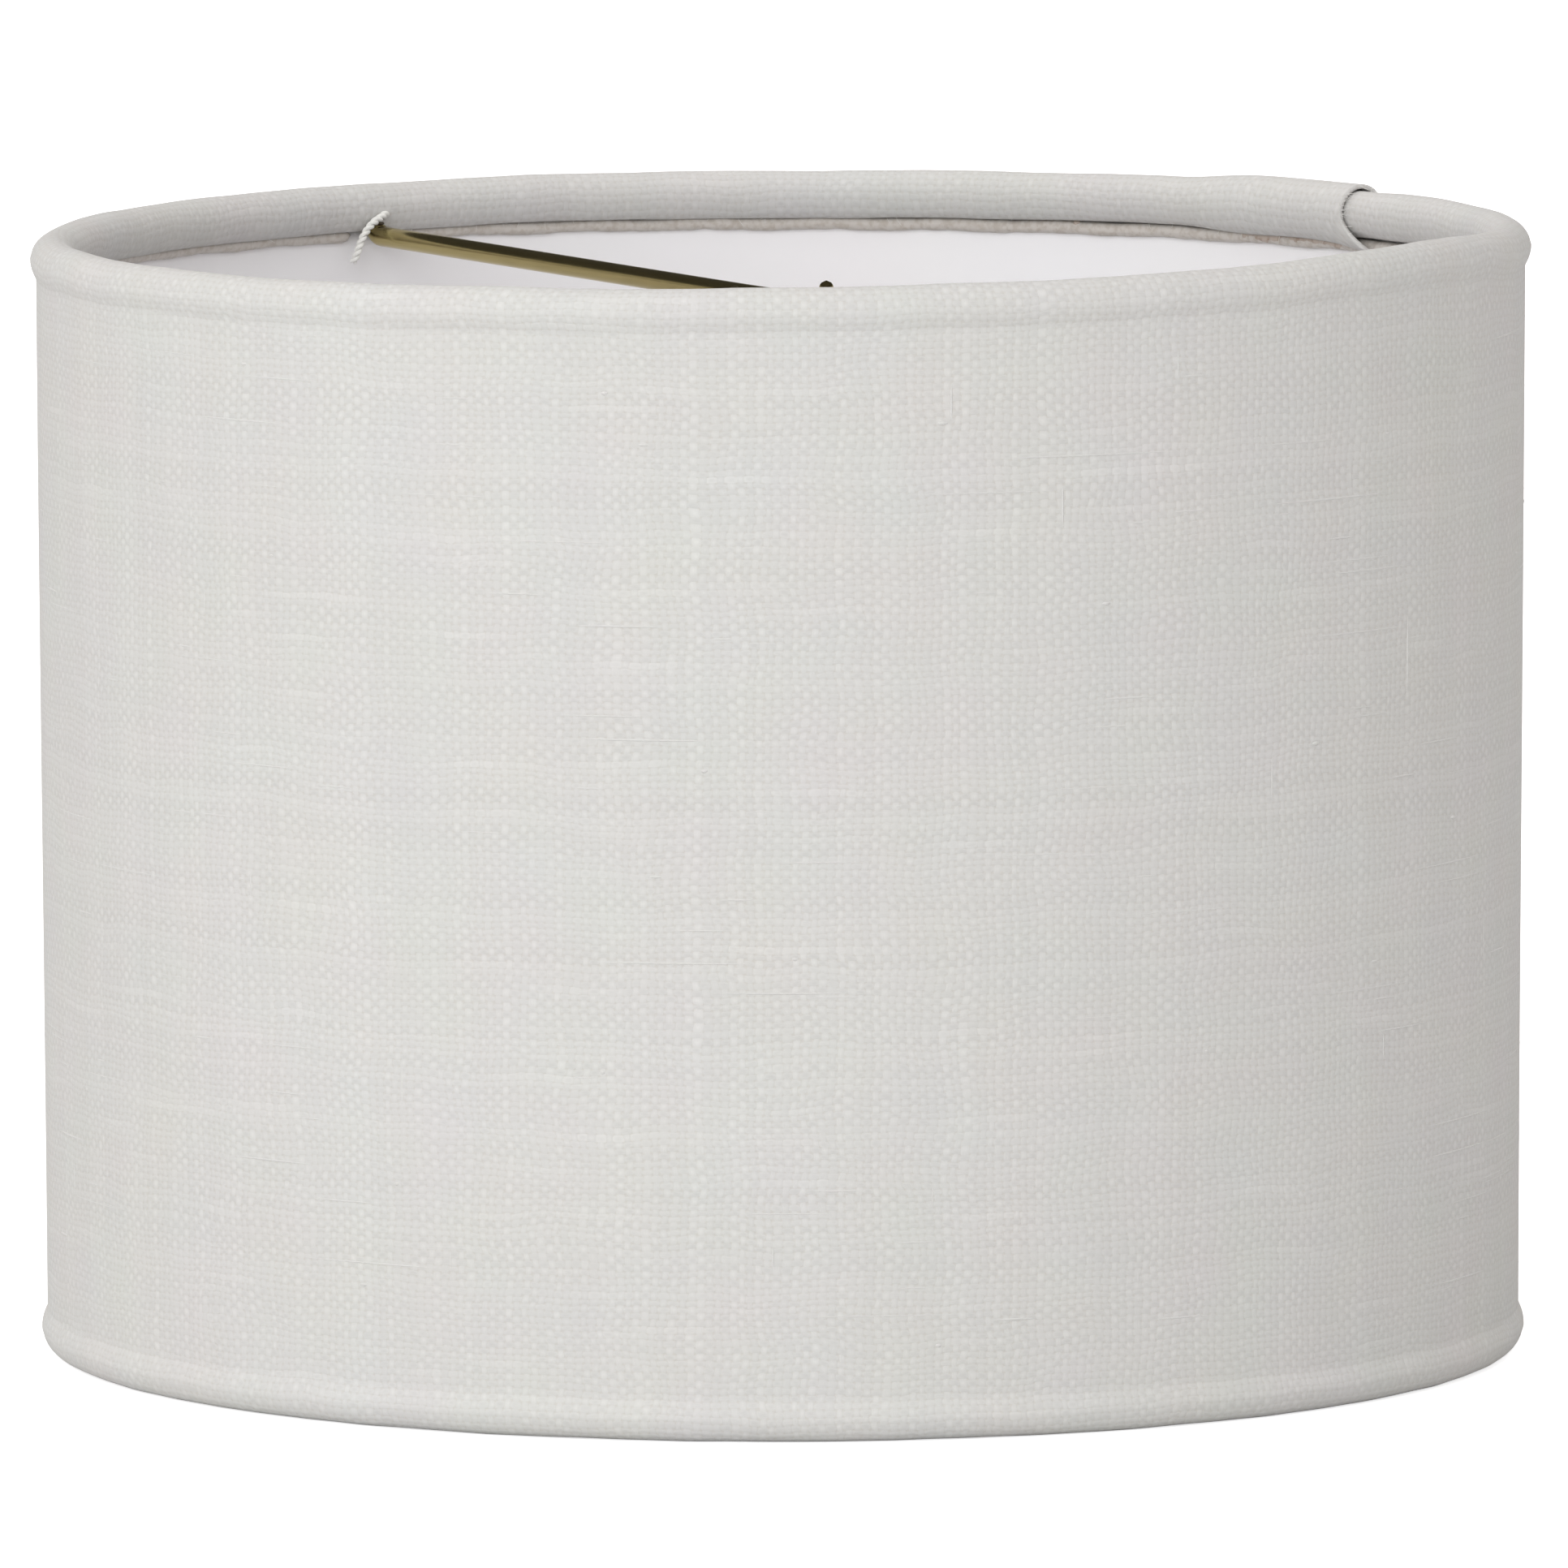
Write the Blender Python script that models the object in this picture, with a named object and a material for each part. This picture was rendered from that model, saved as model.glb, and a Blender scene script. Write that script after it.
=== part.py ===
"""Clip-on drum lamp shade, modelled piece by piece as it comes apart on a bench.

A linen panel is laminated to a white styrene liner and rolled into a drum.  Its top
and bottom margins are turned over a wire ring.  A brass crossbar spans the top ring,
a short clip bar is spot-welded under it, and two sprung wire loops hang on that bar
and grip a candle bulb between them.

Frame: metres, +Z up, origin on the drum's axis in the plane of the bottom rim.
The crossbar lies along Y, the two clip loops open along -X and +X.
"""
from math import cos, pi, radians, sin

import bpy

MM = 0.001

# ---------------------------------------------------------------- driving dimensions
TOP_DIAMETER = 152.4 * MM       # over the rolled top rim
BOTTOM_DIAMETER = 151.2 * MM    # over the rolled bottom rim
HEIGHT = 114.3 * MM             # rim to rim
FABRIC = 0.5 * MM               # linen panel
LINER = 0.4 * MM                # styrene sheet
RING_WIRE = 3.0 * MM            # both rings
ROLL_PROUD = 0.7 * MM           # rolled rim beyond the plain wall
ROLL_FADE = 3.6 * MM            # height in which the rim runs out into the wall
CLEARANCE = 0.3 * MM            # between pieces that touch

CROSSBAR_WIRE = 2.1 * MM
CROSSBAR_SAG = 1.9 * MM         # wire centre lower at the drum's axis than at the ring
CROSSBAR_BEND = 1.15 * MM       # radius of the turned-up ends
CROSSBAR_RISE = 1.34 * MM       # turned-up end above the wire's centre line

CLIP_BAR_WIRE = 1.5 * MM
CLIP_BAR_REACH = 5.7 * MM       # from the axis to each turned-up end
CLIP_BAR_RISE = 3.8 * MM        # turned-up end above the bar's centre line
CLIP_BAR_BEND = 1.5 * MM

LOOP_WIRE = 1.2 * MM
LOOP_SPREAD = 3.6 * MM          # from the axis to each loop's hook
LOOP_BELLY = 15.6 * MM          # from the axis to each loop's belly
LOOP_BELLY_DROP = 32.0 * MM     # hook to belly
LOOP_LENGTH = 42.0 * MM         # hook to foot
LOOP_WIDTH = 20.0 * MM          # widest span between a loop's two legs
LOOP_WIDEST = 0.6               # share of the length at which the legs are widest

# ---------------------------------------------------------------- fineness of the solids
SIDES = 64                      # facets round the drum
ROLL_STEP = radians(30)         # facet of a rolled rim
HEM_FACETS = 9                  # facets from a rim's outer side to its tucked edge
FADE_FACETS = 2
RING_SIDES = 8
HALF_LOOP_POINTS = 18

# ---------------------------------------------------------------- derived sizes
ROLL_RADIUS = RING_WIRE / 2 + CLEARANCE + FABRIC
TOP_RING = (TOP_DIAMETER / 2 - ROLL_RADIUS, HEIGHT - ROLL_RADIUS)
BOTTOM_RING = (BOTTOM_DIAMETER / 2 - ROLL_RADIUS, ROLL_RADIUS)

CROSSBAR_TIP_Z = TOP_RING[1] - RING_WIRE / 2 - CLEARANCE
CROSSBAR_END_Z = CROSSBAR_TIP_Z - CROSSBAR_RISE
CROSSBAR_CENTRE_Z = CROSSBAR_END_Z - CROSSBAR_SAG

CLIP_BAR_Z = CROSSBAR_CENTRE_Z - CROSSBAR_WIRE / 2 - CLEARANCE - CLIP_BAR_WIRE / 2
HOOK_RADIUS = CLIP_BAR_WIRE / 2 + CLEARANCE + LOOP_WIRE / 2


def clear_scene() -> None:
    """Remove whatever the opened file holds."""
    for item in list(bpy.data.objects):
        bpy.data.objects.remove(item, do_unlink=True)


def material(name: str, colour: tuple, roughness: float, metallic: float = 0.0):
    """Make a Principled BSDF material."""
    result = bpy.data.materials.new(name)
    result.use_nodes = True
    shader = result.node_tree.nodes["Principled BSDF"]
    shader.inputs["Base Color"].default_value = (*colour, 1.0)
    shader.inputs["Roughness"].default_value = roughness
    shader.inputs["Metallic"].default_value = metallic
    result.diffuse_color = (*colour, 1.0)
    return result


def add_object(name: str, data, finish, origin=(0.0, 0.0, 0.0)):
    """Link an object that carries one finish."""
    data.materials.append(finish)
    item = bpy.data.objects.new(name, data)
    item.location = origin
    bpy.context.scene.collection.objects.link(item)
    return item


def revolve(name: str, outline: list, finish):
    """Turn a closed (radius, height) outline about Z.

    The outline runs down its outer side, so the faces point out.
    """
    mesh = bpy.data.meshes.new(name)
    count = len(outline)
    points = [(radius, 0.0, height) for radius, height in outline]
    edges = [(index, (index + 1) % count) for index in range(count)]
    mesh.from_pydata(points, edges, [])
    item = add_object(name, mesh, finish)
    screw = item.modifiers.new("Turn", "SCREW")
    screw.axis = "Z"
    screw.angle = 2 * pi
    screw.steps = SIDES
    screw.render_steps = SIDES
    screw.use_smooth_shade = True
    screw.merge_threshold = 0.00001
    return item


def wire(name: str, points: list, diameter: float, finish, origin=(0.0, 0.0, 0.0),
         closed=False, fineness=2):
    """Run a round wire through points given relative to its origin."""
    curve = bpy.data.curves.new(name, "CURVE")
    curve.dimensions = "3D"
    curve.bevel_depth = diameter / 2
    curve.bevel_resolution = fineness
    curve.use_fill_caps = not closed
    spline = curve.splines.new("POLY")
    spline.points.add(len(points) - 1)
    for target, point in zip(spline.points, points):
        target.co = (*point, 1.0)
    spline.use_cyclic_u = closed
    spline.use_smooth = True
    return add_object(name, curve, finish, origin)


def wall_radius(height: float) -> float:
    """Outer radius of the plain drum wall, which narrows a little downwards."""
    top, bottom = TOP_DIAMETER / 2 - ROLL_PROUD, BOTTOM_DIAMETER / 2 - ROLL_PROUD
    return bottom + (top - bottom) * height / HEIGHT


def liner_radius(height: float, depth: float = 0.0) -> float:
    """Radius inside the styrene sheet, `depth` below its outer face."""
    return wall_radius(height) - FABRIC - CLEARANCE - depth


def crossbar_end_y() -> float:
    """Where the crossbar turns up, just inside the liner."""
    heights = CROSSBAR_END_Z - CROSSBAR_WIRE / 2, CROSSBAR_TIP_Z
    return min(liner_radius(height, LINER) for height in heights) - CLEARANCE - CROSSBAR_WIRE / 2


def roll(centre: tuple, up: int, angle: float) -> list:
    """Outer and inner points of a rolled rim.

    The facets lie tangent to the roll's circle, so the rim's lowest facet is a
    true flat.  `up` is +1 at the top rim and -1 at the bottom rim.
    """
    stretch = 1 / cos(ROLL_STEP / 2)
    radii = ROLL_RADIUS * stretch, (ROLL_RADIUS - FABRIC) * stretch
    return [(centre[0] + size * cos(angle), centre[1] + up * size * sin(angle)) for size in radii]


def rim_section(centre: tuple, up: int) -> list:
    """Pairs of outer and inner points, from a rim's tucked edge down to the plain wall."""
    angles = [(step - 0.5) * ROLL_STEP for step in range(HEM_FACETS, -1, -1)]
    pairs = [roll(centre, up, angle) for angle in angles]
    start = centre[1] - up * ROLL_RADIUS * sin(ROLL_STEP / 2)
    for facet in range(1, FADE_FACETS + 1):
        share = facet / FADE_FACETS
        height = start - up * ROLL_FADE * share
        rest = 1 - share * share * (3 - 2 * share)
        edge = centre[0] + ROLL_RADIUS
        radius = wall_radius(height) + (edge - wall_radius(height)) * rest
        pairs.append([(radius, height), (radius - FABRIC, height)])
    return pairs


def make_cover(linen):
    """Linen drum wall with both margins turned over the rings."""
    top = rim_section(TOP_RING, 1)
    bottom = rim_section(BOTTOM_RING, -1)
    pairs = top + bottom[::-1]
    outer = [pair[0] for pair in pairs]
    inner = [pair[1] for pair in pairs]
    cover = revolve("linen_cover", outer + inner[::-1], linen)
    for side in (-1, 1):
        slit_hem(cover, side)
    return cover


def slit_hem(cover, side: int) -> None:
    """Cut the tucked hem where the crossbar's turned-up end passes to the ring."""
    width = CROSSBAR_WIRE + 2 * CLEARANCE
    near, far = TOP_RING[0] - ROLL_RADIUS - CLEARANCE, TOP_RING[0]
    low, high = TOP_RING[1] - ROLL_RADIUS - CLEARANCE, CROSSBAR_TIP_Z + 2 * CLEARANCE
    corners = [(x, side * y, z) for x in (-width / 2, width / 2) for y in (near, far) for z in (low, high)]
    faces = [(0, 1, 3, 2), (4, 6, 7, 5), (0, 4, 5, 1), (2, 3, 7, 6), (0, 2, 6, 4), (1, 5, 7, 3)]
    if side < 0:
        faces = [face[::-1] for face in faces]
    mesh = bpy.data.meshes.new("hem_slit")
    mesh.from_pydata(corners, [], faces)
    cutter = bpy.data.objects.new("hem_slit", mesh)
    cutter.hide_render = True
    cutter.display_type = "WIRE"
    bpy.context.scene.collection.objects.link(cutter)
    cut = cover.modifiers.new("Hem slit", "BOOLEAN")
    cut.operation = "DIFFERENCE"
    cut.object = cutter


def make_liner(styrene):
    """White styrene sheet behind the linen, butted between the two rolled rims."""
    top = TOP_RING[1] - ROLL_RADIUS - CLEARANCE
    bottom = BOTTOM_RING[1] + ROLL_RADIUS + CLEARANCE
    outline = [(liner_radius(top), top), (liner_radius(bottom), bottom),
               (liner_radius(bottom, LINER), bottom), (liner_radius(top, LINER), top)]
    return revolve("styrene_liner", outline, styrene)


def make_ring(name: str, centre: tuple, steel):
    """Wire ring inside a rolled rim."""
    turns = [-2 * pi * (step + 0.5) / RING_SIDES for step in range(RING_SIDES)]
    size = RING_WIRE / 2
    outline = [(centre[0] + size * cos(turn), centre[1] + size * sin(turn)) for turn in turns]
    return revolve(name, outline, steel)


def make_crossbar(brass):
    """Brass wire from ring to ring: it sags to the axis and both ends turn up."""
    end_y = crossbar_end_y()
    slope = CROSSBAR_SAG / end_y
    bend_start = end_y - CROSSBAR_BEND
    bend_z = CROSSBAR_CENTRE_Z + slope * bend_start
    half = []
    for turn in (0, 30, 60, 90):
        angle = radians(turn)
        half.append((0.0, bend_start + CROSSBAR_BEND * sin(angle), bend_z + CROSSBAR_BEND * (1 - cos(angle))))
    half.append((0.0, end_y, CROSSBAR_TIP_Z))
    middle = [(0.0, 0.0, CROSSBAR_CENTRE_Z)]
    mirrored = [(x, -y, z) for x, y, z in reversed(half)]
    return wire("crossbar", mirrored + middle + half, CROSSBAR_WIRE, brass)


def make_clip_bar(brass):
    """Short wire under the crossbar whose turned-up ends keep the loops on."""
    half = []
    for turn in (0, 30, 60, 90):
        angle = radians(turn)
        half.append((CLIP_BAR_REACH - CLIP_BAR_BEND * (1 - sin(angle)), 0.0, CLIP_BAR_BEND * (1 - cos(angle))))
    half.append((CLIP_BAR_REACH, 0.0, CLIP_BAR_RISE))
    mirrored = [(-x, y, z) for x, y, z in reversed(half)]
    return wire("clip_bar", mirrored + half, CLIP_BAR_WIRE, brass, (0.0, 0.0, CLIP_BAR_Z))


def loop_half_width(drop: float) -> float:
    """Distance of a loop's leg from its middle plane, `drop` below the clip bar."""
    widest = LOOP_WIDEST * LOOP_LENGTH
    if drop < widest:
        share = max(drop, 0.0) / widest
        ease = share * share * (3 - 2 * share)
        return HOOK_RADIUS + (LOOP_WIDTH / 2 - HOOK_RADIUS) * (0.5 * share + 0.5 * ease)
    share = (drop - widest) / (LOOP_LENGTH - widest)
    return LOOP_WIDTH / 2 * max(1 - share * share, 0.0) ** 0.5


def loop_offset(drop: float) -> float:
    """How far a loop bows outward from its hook, `drop` below the clip bar."""
    return (LOOP_BELLY - LOOP_SPREAD) * sin(pi / 2 * max(drop, 0.0) / LOOP_BELLY_DROP)


def make_loop(name: str, side: int, brass):
    """Sprung teardrop loop: a hook over the clip bar, two bowed legs, a round foot."""
    half = []
    for turn in (30, 60, 90):
        angle = radians(turn)
        half.append((HOOK_RADIUS * sin(angle), -HOOK_RADIUS * cos(angle)))
    legs = HALF_LOOP_POINTS - len(half)
    for step in range(1, legs):
        drop = LOOP_LENGTH * sin(pi / 2 * step / legs)
        half.append((loop_half_width(drop), drop))
    right = [(side * loop_offset(drop), across, -drop) for across, drop in half]
    left = [(x, -y, z) for x, y, z in reversed(right)]
    foot = [(side * loop_offset(LOOP_LENGTH), 0.0, -LOOP_LENGTH)]
    crown = [(0.0, 0.0, HOOK_RADIUS)]
    hook = (side * LOOP_SPREAD, 0.0, CLIP_BAR_Z)
    return wire(name, crown + right + foot + left, LOOP_WIRE, brass, hook, closed=True, fineness=1)


def main() -> None:
    """Build every piece of the shade."""
    clear_scene()
    linen = material("linen", (0.72, 0.70, 0.67), 0.9)
    styrene = material("styrene", (0.84, 0.83, 0.85), 0.3)
    steel = material("ring_steel", (0.45, 0.44, 0.42), 0.45, 1.0)
    brass = material("brass", (0.62, 0.50, 0.28), 0.25, 1.0)
    make_cover(linen)
    make_liner(styrene)
    make_ring("top_ring", TOP_RING, steel)
    make_ring("bottom_ring", BOTTOM_RING, steel)
    make_crossbar(brass)
    make_clip_bar(brass)
    make_loop("left_clip_loop", -1, brass)
    make_loop("right_clip_loop", 1, brass)


main()
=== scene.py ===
"""Looks of the clip-on linen drum shade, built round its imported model.

The linen panel is one long sheet: it starts at the cut edge of the lap, runs once
round the drum, passes under itself, and is turned over a wire ring at each rim.
Behind it stands the styrene liner.  The brass crossbar, clip bar and sprung loops are
bent wires, and loose yarns, slubs and glue make the cloth what it is.

Frame: metres, +Z up, origin on the drum's axis in the plane of the bottom rim.  The
crossbar lies along Y, the loops open along X, and the lap of the linen is at +X.
"""

import logging
from dataclasses import dataclass, field
from enum import Enum
from math import cos, pi, radians, sin
from typing import Any, ClassVar

import bmesh
import bpy
import numpy as np
from mathutils import Matrix, Vector


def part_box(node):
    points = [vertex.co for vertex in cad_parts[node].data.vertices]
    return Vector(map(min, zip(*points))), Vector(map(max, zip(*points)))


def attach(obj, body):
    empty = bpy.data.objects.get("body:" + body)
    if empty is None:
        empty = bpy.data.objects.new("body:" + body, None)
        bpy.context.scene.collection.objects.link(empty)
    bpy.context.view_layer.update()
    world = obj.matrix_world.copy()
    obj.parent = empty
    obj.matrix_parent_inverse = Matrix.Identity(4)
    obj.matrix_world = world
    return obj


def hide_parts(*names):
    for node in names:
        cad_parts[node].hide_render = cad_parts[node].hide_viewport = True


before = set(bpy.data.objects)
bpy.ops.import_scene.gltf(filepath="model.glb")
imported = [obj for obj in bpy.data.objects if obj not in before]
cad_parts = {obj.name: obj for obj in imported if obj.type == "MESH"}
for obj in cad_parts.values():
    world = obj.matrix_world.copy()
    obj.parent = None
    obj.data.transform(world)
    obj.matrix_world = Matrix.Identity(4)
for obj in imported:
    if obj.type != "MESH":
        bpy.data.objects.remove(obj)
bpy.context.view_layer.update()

MM = 0.001
CLOTH_MAP = "cloth"
log = logging.getLogger("shade")

Colour = tuple[float, float, float]
Socket = bpy.types.NodeSocket
PLACE = ("Vector", (0, 0, 0))
STRETCH = ("Vector", (1.0, 1.0, 1.0))


# ---------------------------------------------------------------------- node trees
class Graph:
    """Short calls that add and wire the nodes of one tree."""

    def __init__(self, tree: bpy.types.NodeTree) -> None:
        """Keep the tree to work on.

        Args:
            tree: shader, world or geometry node tree.
        """
        self.tree = tree

    def add(self, kind: str, inputs: dict[str | int, Any] | None = None, **settings: Any) -> bpy.types.Node:
        """Add a node, set it up and feed its inputs.

        Args:
            kind: Blender's name of the node type.
            inputs: sockets or values by input name or number.
            **settings: properties of the node.

        Returns:
            The new node.
        """
        node = self.tree.nodes.new(kind)
        for name, value in settings.items():
            setattr(node, name, value)
        for key, value in (inputs or {}).items():
            self.feed(node.inputs[key], value)
        return node

    def feed(self, socket: Socket, value: Any) -> None:
        """Link a socket into an input, or set the input's value.

        Args:
            socket: input to feed.
            value: an output socket, or a plain value.
        """
        if isinstance(value, bpy.types.NodeSocket):
            self.tree.links.new(value, socket)
        else:
            socket.default_value = value

    def math(self, operation: str, *values: Any, clamp: bool = False) -> Socket:
        """Work out one number.

        Args:
            operation: Blender's name of the operation.
            *values: one to three sockets or numbers.
            clamp: keep the result from 0 to 1.

        Returns:
            The result's socket.
        """
        inputs = dict(enumerate(values))
        return self.add("ShaderNodeMath", inputs, operation=operation, use_clamp=clamp).outputs[0]

    def times(self, first: Any, second: Any) -> Socket:
        """Multiply two numbers."""
        return self.math("MULTIPLY", first, second)

    def plus(self, first: Any, second: Any) -> Socket:
        """Add two numbers."""
        return self.math("ADD", first, second)

    def minus(self, first: Any, second: Any) -> Socket:
        """Take the second number from the first."""
        return self.math("SUBTRACT", first, second)

    def linear(self, value: Any, slope: Any, start: Any, clamp: bool = False) -> Socket:
        """Multiply by a slope and add a start."""
        return self.math("MULTIPLY_ADD", value, slope, start, clamp=clamp)

    def vector(self, operation: str, *values: Any, output: int = 0) -> Socket:
        """Work out one vector.

        Args:
            operation: Blender's name of the operation.
            *values: sockets or triples.
            output: number of the output, 1 for a value such as a length.

        Returns:
            The result's socket.
        """
        return self.add("ShaderNodeVectorMath", dict(enumerate(values)), operation=operation).outputs[output]

    def scaled(self, vector: Any, factor: Any) -> Socket:
        """Multiply a vector or colour by a number, which may be a socket."""
        return self.add("ShaderNodeVectorMath", {0: vector, 3: factor}, operation="SCALE").outputs[0]

    def split(self, vector: Any) -> tuple[Socket, Socket, Socket]:
        """Take a vector apart into X, Y and Z."""
        node = self.add("ShaderNodeSeparateXYZ", {0: vector})
        return node.outputs[0], node.outputs[1], node.outputs[2]

    def join(self, x: Any = 0.0, y: Any = 0.0, z: Any = 0.0) -> Socket:
        """Make a vector of three numbers."""
        return self.add("ShaderNodeCombineXYZ", {0: x, 1: y, 2: z}).outputs[0]

    def blend(self, factor: Any, first: Any, second: Any) -> Socket:
        """Go from one number to another."""
        return self.add("ShaderNodeMix", {0: factor, 2: first, 3: second}, data_type="FLOAT").outputs[0]

    def tint(self, factor: Any, first: Any, second: Any, mode: str = "MIX") -> Socket:
        """Blend two colours.

        Args:
            factor: share of the second colour.
            first: socket or colour.
            second: socket or colour.
            mode: Blender's name of the blend.

        Returns:
            The blended colour's socket.
        """
        inputs = {0: factor}
        for key, value in ((6, first), (7, second)):
            inputs[key] = value if isinstance(value, bpy.types.NodeSocket) else rgba(value)
        return self.add("ShaderNodeMix", inputs, data_type="RGBA", blend_type=mode).outputs[2]

    def noise(self, vector: Any, scale: Any, detail: float = 2.0, roughness: float = 0.5) -> bpy.types.Node:
        """Add fractal noise.

        Args:
            vector: where to read it.
            scale: waves per unit.
            detail: number of finer layers.
            roughness: weight of the finer layers.

        Returns:
            The noise node: output 0 is a value, output 1 a colour.
        """
        inputs = {"Vector": vector, "Scale": scale, "Detail": detail, "Roughness": roughness}
        return self.add("ShaderNodeTexNoise", inputs)

    def shift(self, vector: Any, scale: Any, detail: float) -> Socket:
        """Read noise as a vector round zero."""
        return self.vector("SUBTRACT", self.noise(vector, scale, detail).outputs[1], (0.5, 0.5, 0.5))

    def lot(self, number: Any, seed: float = 0.0) -> Socket:
        """Draw a fixed random value from 0 to 1 for a whole number."""
        shifted = self.plus(number, seed)
        return self.add("ShaderNodeTexWhiteNoise", {"W": shifted}, noise_dimensions="1D").outputs[0]

    def step(self, value: Any, low: Any, high: Any) -> Socket:
        """Rise smoothly from 0 at low to 1 at high."""
        inputs = {0: value, 1: low, 2: high, 3: 0.0, 4: 1.0}
        return self.add("ShaderNodeMapRange", inputs, interpolation_type="SMOOTHSTEP").outputs[0]


def rgba(colour: Colour | tuple[float, float, float, float]) -> tuple[float, float, float, float]:
    """Give a colour its alpha."""
    return (*colour[:3], 1.0)


class Effect:
    """Shader node group with named inputs and outputs."""

    def __init__(self, name: str, inputs: dict[str, tuple[str, Any]], outputs: dict[str, str]) -> None:
        """Open the group.

        Args:
            name: the group's name.
            inputs: socket kind and usual value by name.
            outputs: socket kind by name.
        """
        self.tree = bpy.data.node_groups.new(name, "ShaderNodeTree")
        for label, (kind, value) in inputs.items():
            socket = self.tree.interface.new_socket(label, in_out="INPUT", socket_type=f"NodeSocket{kind}")
            socket.default_value = value
        for label, kind in outputs.items():
            self.tree.interface.new_socket(label, in_out="OUTPUT", socket_type=f"NodeSocket{kind}")
        self.graph = Graph(self.tree)
        self.given = self.graph.add("NodeGroupInput").outputs

    def close(self, **results: Socket) -> "Effect":
        """Wire the results out.

        Args:
            **results: sockets by output name, with _ for a space.

        Returns:
            The finished effect.
        """
        self.graph.add("NodeGroupOutput", {name.replace("_", " "): value for name, value in results.items()})
        return self

    def place(self, graph: Graph, **values: Any) -> bpy.types.NodeOutputs:
        """Place the group in a material.

        Args:
            graph: the material's graph.
            **values: sockets or values by input name, with _ for a space.

        Returns:
            The placed group's outputs.
        """
        node = graph.add("ShaderNodeGroup", node_tree=self.tree)
        for name, value in values.items():
            graph.feed(node.inputs[name.replace("_", " ")], value)
        return node.outputs


class Recipe:
    """Geometry node tree whose sizes are named inputs."""

    def __init__(self, name: str, sizes: dict[str, tuple[str, Any]]) -> None:
        """Open the tree.

        Args:
            name: the tree's name.
            sizes: socket kind and usual value by name.
        """
        self.tree = bpy.data.node_groups.new(name, "GeometryNodeTree")
        self.tree.is_modifier = True
        face = self.tree.interface
        face.new_socket("Geometry", in_out="INPUT", socket_type="NodeSocketGeometry")
        for label, (kind, value) in sizes.items():
            face.new_socket(label, in_out="INPUT", socket_type=f"NodeSocket{kind}").default_value = value
        face.new_socket("Finish", in_out="INPUT", socket_type="NodeSocketMaterial")
        face.new_socket("Geometry", in_out="OUTPUT", socket_type="NodeSocketGeometry")
        self.graph = Graph(self.tree)
        self.given = self.graph.add("NodeGroupInput").outputs

    def close(self, geometry: Socket) -> None:
        """End the tree in real, smooth, finished faces.

        Args:
            geometry: what the tree has made.
        """
        real = self.graph.add("GeometryNodeRealizeInstances", {0: geometry})
        smooth = self.graph.add("GeometryNodeSetShadeSmooth", {0: real.outputs[0]})
        dressed = self.graph.add("GeometryNodeSetMaterial", {0: smooth.outputs[0], 2: self.given["Finish"]})
        self.graph.add("NodeGroupOutput", {0: dressed.outputs[0]})

    def grow(self, base: bpy.types.Mesh, finish: bpy.types.Material, **sizes: Any) -> bpy.types.Object:
        """Run the tree on a mesh and keep the result as a plain mesh.

        Args:
            base: mesh to start from, whose name the piece takes.
            finish: material of every face.
            **sizes: values by input name, with _ for a space.

        Returns:
            The grown piece, at the origin.
        """
        piece = add_piece(base)
        tree = piece.modifiers.new("Recipe", "NODES")
        tree.node_group = self.tree
        items = self.tree.interface.items_tree
        sockets = {item.name: item.identifier for item in items if item.in_out == "INPUT"}
        tree[sockets["Finish"]] = finish
        for name, value in sizes.items():
            tree[sockets[name.replace("_", " ")]] = value
        evaluated = piece.evaluated_get(bpy.context.evaluated_depsgraph_get())
        mesh = bpy.data.meshes.new_from_object(evaluated)
        piece.modifiers.remove(tree)
        piece.data = mesh
        mesh.name = base.name
        return piece


# ---------------------------------------------------------------------- mesh helpers
def add_piece(mesh: bpy.types.Mesh) -> bpy.types.Object:
    """Link an object for a mesh, under the mesh's name.

    Args:
        mesh: the piece's mesh.

    Returns:
        The linked object.
    """
    piece = bpy.data.objects.new(mesh.name, mesh)
    bpy.context.scene.collection.objects.link(piece)
    return piece


def line_mesh(name: str, lines: list[np.ndarray], closed: bool = False) -> bpy.types.Mesh:
    """Make a mesh of edges that follow lines.

    Args:
        name: the mesh's name.
        lines: points of each line.
        closed: join each line's end to its start.

    Returns:
        The mesh, without faces.
    """
    points: list[tuple[float, float, float]] = []
    edges: list[tuple[int, int]] = []
    for line in lines:
        first, count = len(points), len(line)
        points += [tuple(point) for point in line]
        edges += [(first + index, first + index + 1) for index in range(count - 1)]
        if closed:
            edges.append((first + count - 1, first))
    mesh = bpy.data.meshes.new(name)
    mesh.from_pydata(points, edges, [])
    return mesh


def smooth_step(value: np.ndarray, low: float, high: float) -> np.ndarray:
    """Rise smoothly from 0 at low to 1 at high."""
    share = np.clip((value - low) / (high - low), 0.0, 1.0)
    return share * share * (3.0 - 2.0 * share)


def smooth_max(first: np.ndarray, second: np.ndarray, width: float) -> np.ndarray:
    """Take the larger of two values, with a fillet of that width where they cross."""
    share = np.clip(0.5 + 0.5 * (first - second) / width, 0.0, 1.0)
    return second + (first - second) * share + width * share * (1.0 - share)


def round_drum(radius: Any, turn: Any, height: Any) -> np.ndarray:
    """Place points by radius, turn from +X and height."""
    parts = np.broadcast_arrays(radius * np.cos(turn), radius * np.sin(turn), height)
    return np.stack(parts, axis=-1)


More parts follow.
